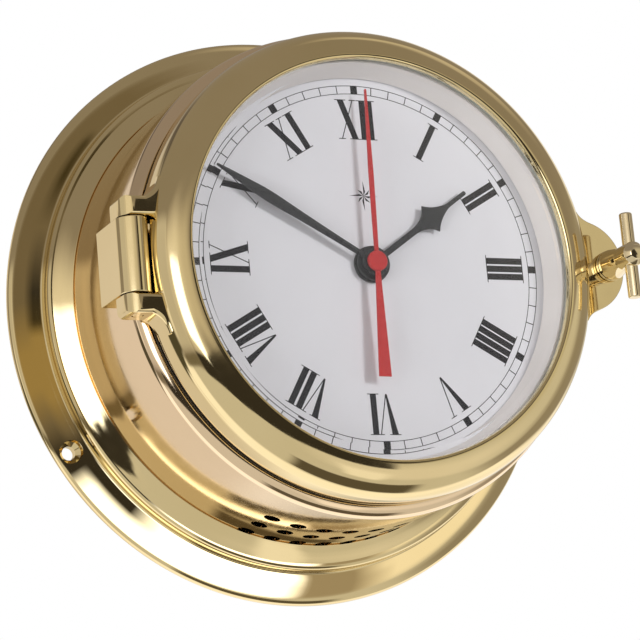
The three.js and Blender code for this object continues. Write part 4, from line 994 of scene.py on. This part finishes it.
needle = [(-34.4, 1.95), (-4, 0.8), (0, 0.6), (14, 0.72), (27, 0.75), (52.3, 0.3), (52.5, 0.15)]
second_hub = [(0, SECOND_BACK), (3.07, SECOND_BACK, 0.1), (3.07, 69.6, 0.5), (1.6, 69.85, 0.8), (0, 69.9)]
second = set_hand(blade("second_needle", needle, SECOND_BACK), SECOND_ANGLE, second_hub, 0.75)
place(second, red_paint, "second", "second_hand")

# %% [markdown]
# The movement stays as the CAD model has it, behind the dial. Its pieces only need their finishes, and the
# model's own material names say which.

# %% Finishes of the pieces that stay
staying = [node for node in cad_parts.values() if not node.hide_render]
for node in staying:
    slot = node.data.materials[0].name.split(".")[0]
    node.data.materials[0] = FINISHES[slot][0]
print("CAD nodes that stay:", len(staying))

# %% [markdown]
# Brass shows the room around it more than itself, so the room is designed with care. The background is plain
# white. Only reflections see the studio: a pale table below, a taupe ceiling above, and between them the
# cards. A card is a soft rectangle in a direction, and they are laid over each other like paper, in this
# order.

# %% The room
AMBIENT = 0.50
LEAST_AHEAD = 0.05
CEILING, TABLE, TABLE_DOWN, TABLE_EDGE = (0.30, 0.26, 0.22), (0.68, 0.64, 0.57), (113, -64), 0.06
DARK = (0.04, 0.034, 0.026)
# name: azimuth and elevation of the middle, width and height, roll, softness, colour
CARDS = {
    "right wall": ((92, -6), (62, 62), 0, 0.35, (0.34, 0.30, 0.25)),
    "lamp in the corner": ((130, 25), (34, 14), 20, 0.5, (0.95, 0.88, 0.78)),
    "glow on the ceiling": ((72, 54), (16, 34), 0, 0.6, (0.62, 0.55, 0.46)),
    "dark beam": ((-155, 42), (32, 14), 0, 0.5, (0.13, 0.11, 0.10)),
    "white sheet behind": ((180, -52), (128, 52), 0, 0.25, (1.25, 1.18, 1.11)),
    "sheet on the right": ((133, -24), (34, 44), 0, 0.3, (1.15, 1.09, 1.03)),
    "wall behind": ((-160, 0), (44, 66), 0, 0.35, (0.78, 0.70, 0.61)),
    "reflector": ((-83, 3), (44, 48), 0, 0.15, (0.62, 0.57, 0.50)),
    "reflector's bright side": ((-98, -5), (10, 18), 0, 0.5, (1.00, 0.93, 0.83)),
    "reflector's rim": ((-59, 0), (5, 46), 0, 0.3, (0.30, 0.26, 0.20)),
    "dark shelf": ((-124, -13), (42, 17), 0, 0.25, (0.09, 0.08, 0.05)),
    "edge of the shelf": ((-84, -25), (48, 5), 0, 0.4, (0.20, 0.17, 0.12)),
    "haze by the window": ((-10, 11), (34, 18), 0, 0.5, (0.66, 0.59, 0.48)),
    "glow round the window": ((-37, 2), (50, 42), 0, 0.5, (0.90, 0.82, 0.71)),
    "window": ((-34, 0), (34, 26), 0, 0.16, (2.8, 2.8, 2.9)),
    "bright cloth": ((30, -20), (34, 26), 0, 0.6, (0.84, 0.78, 0.70)),
    "white strip": ((20, -35), (10, 28), 0, 0.4, (1.05, 0.99, 0.91)),
    "light on the right": ((34, 11), (18, 20), 0, 0.4, (0.64, 0.58, 0.45)),
    "dark stand": ((4, -3.5), (52, 12), 27, 0.12, DARK),
    "dark figure": ((17, -2), (17, 21), 0, 0.1, DARK),
    "dark shoulder": ((2, -9.5), (36, 12), 14, 0.15, DARK),
    "dark head": ((22, 11), (15, 12), 27, 0.15, DARK),
    "dark camera": ((-30, -19), (58, 10), 16, 0.2, DARK),
    "dark under the clock": ((50, -79), (44, 33), 45, 0.16, (0.12, 0.10, 0.07)),
}


def heading(azimuth, elevation):
    """A direction from the clock: azimuth 0 is straight out from the dial and 90 is towards 3 o'clock."""
    a, e = math.radians(azimuth), math.radians(elevation)
    return Vector((math.sin(a) * math.cos(e), -math.cos(a) * math.cos(e), math.sin(e)))


world = bpy.data.worlds.new("studio")
world.use_nodes = True
scene.world = world
sky = world.node_tree
sky.nodes.clear()
toward = add(sky, "ShaderNodeTexCoord").outputs["Generated"]


def along(direction):
    """How far a ray goes along a direction."""
    return add(sky, "ShaderNodeVectorMath", toward, direction, operation="DOT_PRODUCT").outputs["Value"]


def fade(value, start, end):
    """0 at start and 1 at end, with a soft step between them."""
    node = add(sky, "ShaderNodeMapRange", value, start, end)
    node.interpolation_type = "SMOOTHSTEP"
    return node.outputs[0]


def card_mask(middle, size, roll, soft):
    """1 inside a card and 0 outside it."""
    middle, across = heading(*middle), heading(middle[0] + 90, 0)
    across = Matrix.Rotation(math.radians(roll), 3, middle) @ across
    ahead = along(middle)
    mask = maths(sky, "GREATER_THAN", ahead, LEAST_AHEAD)
    ahead = maths(sky, "MAXIMUM", ahead, LEAST_AHEAD)
    for axis, width in ((across, size[0]), (middle.cross(across), size[1])):
        edge = math.tan(math.radians(width / 2))
        reach = maths(sky, "ABSOLUTE", maths(sky, "DIVIDE", along(axis), ahead))
        mask = maths(sky, "MULTIPLY", mask, fade(reach, edge * (1 + soft), edge * (1 - soft)))
    return mask


room = mixed(sky, fade(along(heading(*TABLE_DOWN)), 0.0, TABLE_EDGE), (*CEILING, 1), (*TABLE, 1))
for middle, size, roll, soft, colour in CARDS.values():
    room = mixed(sky, card_mask(middle, size, roll, soft), room, (*colour, 1))
print("Cards in the room:", len(CARDS))

# %% [markdown]
# What a ray sees depends on where it comes from. A reflection sees the room. The camera sees plain white,
# also through the glass. Paint and enamel see one even grey, so that their own colours render as they were
# chosen.

# %% Who sees the room
ray = add(sky, "ShaderNodeLightPath").outputs
lit = mixed(sky, ray["Is Glossy Ray"], (AMBIENT, AMBIENT, AMBIENT, 1), room)
undimmed = maths(sky, "LESS_THAN", ray["Diffuse Depth"], 0.5)
through_glass = maths(sky, "MULTIPLY", ray["Is Transmission Ray"], undimmed)
seen = mixed(sky, maths(sky, "MAXIMUM", ray["Is Camera Ray"], through_glass), lit, (1, 1, 1, 1))
add(sky, "ShaderNodeOutputWorld", made(sky, "ShaderNodeBackground", seen))

# %% [markdown]
# Two soft lamps light the clock, and neither shows in a reflection. The smaller one stands to the right, a
# little above the clock, and throws the hands' shadows to the left. The wide one fills those shadows from the
# lower left. The floor lies well below, pale and plain.

# %% Lamps and floor
LAMP_DISTANCE = 1.3
# name: azimuth and elevation, size in metres, power in watts
LAMPS = {"window lamp": ((26, 8), 0.2, 5.9), "fill lamp": ((-66, -14), 0.7, 7.4)}
for name, (direction, size, power) in LAMPS.items():
    light = bpy.data.lights.new(name, "AREA")
    light.size, light.energy = size, power
    lamp = bpy.data.objects.new(name, light)
    out = heading(*direction)
    turn = out.to_track_quat("Z", "Y").to_matrix().to_4x4()
    lamp.matrix_world = Matrix.Translation(out * LAMP_DISTANCE) @ turn
    lamp.visible_glossy = lamp.visible_transmission = False
    scene.collection.objects.link(lamp)

FLOOR, FLOOR_HALF, FLOOR_THICKNESS = -550, 4000, 10
floor_side = box(-FLOOR_HALF, FLOOR_HALF, FLOOR - FLOOR_THICKNESS, FLOOR)
floor = cut_out("floor", floor_side, -FLOOR_HALF, FLOOR_HALF)
pale, shader = finish("pale floor", (0.86, 0.86, 0.86), 0.6)
tint(pale, shader, noise(pale, 6), (0.85, 0.85, 0.85), (0.87, 0.87, 0.87))
floor.data.materials.append(pale)
floor.visible_glossy = False

# %% [markdown]
# A curved sheet stands close in front of the flange, only for its reflections: white below, which gives the
# dish its bright sweep, and brown on the left, which keeps the window out of it. Its colour runs along two
# ramps round the clock, an inner and an outer one. It glows towards the wall alone and is clear from every
# other side.

# %% Sheet before the flange
SHEET_DEPTH, SHEET_THICKNESS, SHEET_STEPS = 16.5, 0.2, 96
SHEET_FIRST, SHEET_LAST, SHEET_INNER, SHEET_OUTER = 92, 352, 83.0, 125.0
SHEET_BLEND, WALLWARD = (86 * MM, 92 * MM), (0.48, 0.62)
WHITE, CREAM, TAN, SHADE = (2.9, 2.9, 3.1), (1.12, 1.02, 0.86), (0.42, 0.35, 0.26), (0.06, 0.045, 0.02)
GOLD, BROWN, SOFT = (0.38, 0.27, 0.11), (0.19, 0.15, 0.10), (0.30, 0.26, 0.22)
# The ramps are painted reflections for the dish, clock angle by clock angle: WHITE is its painted highlight,
# and DARK, SHADE and BROWN are its painted dark reflections.
INNER_RAMP = [(92, CREAM), (158, CREAM), (166, TAN), (177, TAN), (181, WHITE), (213, WHITE), (222, DARK),
              (240, DARK), (244, BROWN), (252, GOLD), (266, GOLD), (269, SHADE), (276, DARK), (291, BROWN),
              (304, SHADE), (314, SHADE), (318, BROWN), (338, BROWN), (352, SOFT)]
OUTER_RAMP = [(92, CREAM), (155, CREAM), (166, TAN), (177, TAN), (183, WHITE), (231, WHITE), (236, DARK),
              (241, DARK), (247, BROWN), (255, GOLD), (263, GOLD), (274, BROWN), (330, BROWN), (352, SOFT)]

glow, shader = finish("glow before the flange", (0, 0, 0), 1.0, specular=0.0)
tree = glow.node_tree


def round_the_clock(stops):
    """A colour for each clock angle."""
    span = SHEET_LAST - SHEET_FIRST
    return ramp(tree, turn_round, [((angle - SHEET_FIRST) / span, colour) for angle, colour in stops])


where = add(tree, "ShaderNodeTexCoord").outputs["Object"]
across, _, upward = add(tree, "ShaderNodeSeparateXYZ", where).outputs
angle = maths(tree, "WRAP", maths(tree, "ARCTAN2", across, upward), 2 * math.pi, 0.0)
first, last = math.radians(SHEET_FIRST), math.radians(SHEET_LAST)
turn_round = made(tree, "ShaderNodeMapRange", angle, first, last)
squares = [maths(tree, "MULTIPLY", way, way) for way in (across, upward)]
radius = maths(tree, "SQRT", maths(tree, "ADD", *squares))
outward = made(tree, "ShaderNodeMapRange", radius, *SHEET_BLEND)
colour = mixed(tree, outward, round_the_clock(INNER_RAMP), round_the_clock(OUTER_RAMP))
connect(tree, shader, {"Emission Color": colour, "Emission Strength": 1.0})
incoming = add(tree, "ShaderNodeNewGeometry").outputs["Incoming"]
incoming = add(tree, "ShaderNodeSeparateXYZ", incoming).outputs[1]
wallward = made(tree, "ShaderNodeMapRange", incoming, *WALLWARD)
clear = made(tree, "ShaderNodeBsdfTransparent")
either = made(tree, "ShaderNodeMixShader", wallward, clear, shader.outputs[0])
connect(tree, tree.nodes["Material Output"], {"Surface": either})

rim = arc((0, 0), SHEET_OUTER, math.pi / 2 - first, math.pi / 2 - last, SHEET_STEPS)
rim += arc((0, 0), SHEET_INNER, math.pi / 2 - last, math.pi / 2 - first, SHEET_STEPS)
sheet = cut_out("sheet_before_flange", rim, SHEET_DEPTH, SHEET_DEPTH + SHEET_THICKNESS)
sheet.data.materials.append(glow)
sheet.visible_camera = sheet.visible_diffuse = sheet.visible_shadow = sheet.visible_transmission = False

scene.view_settings.view_transform = "Standard"
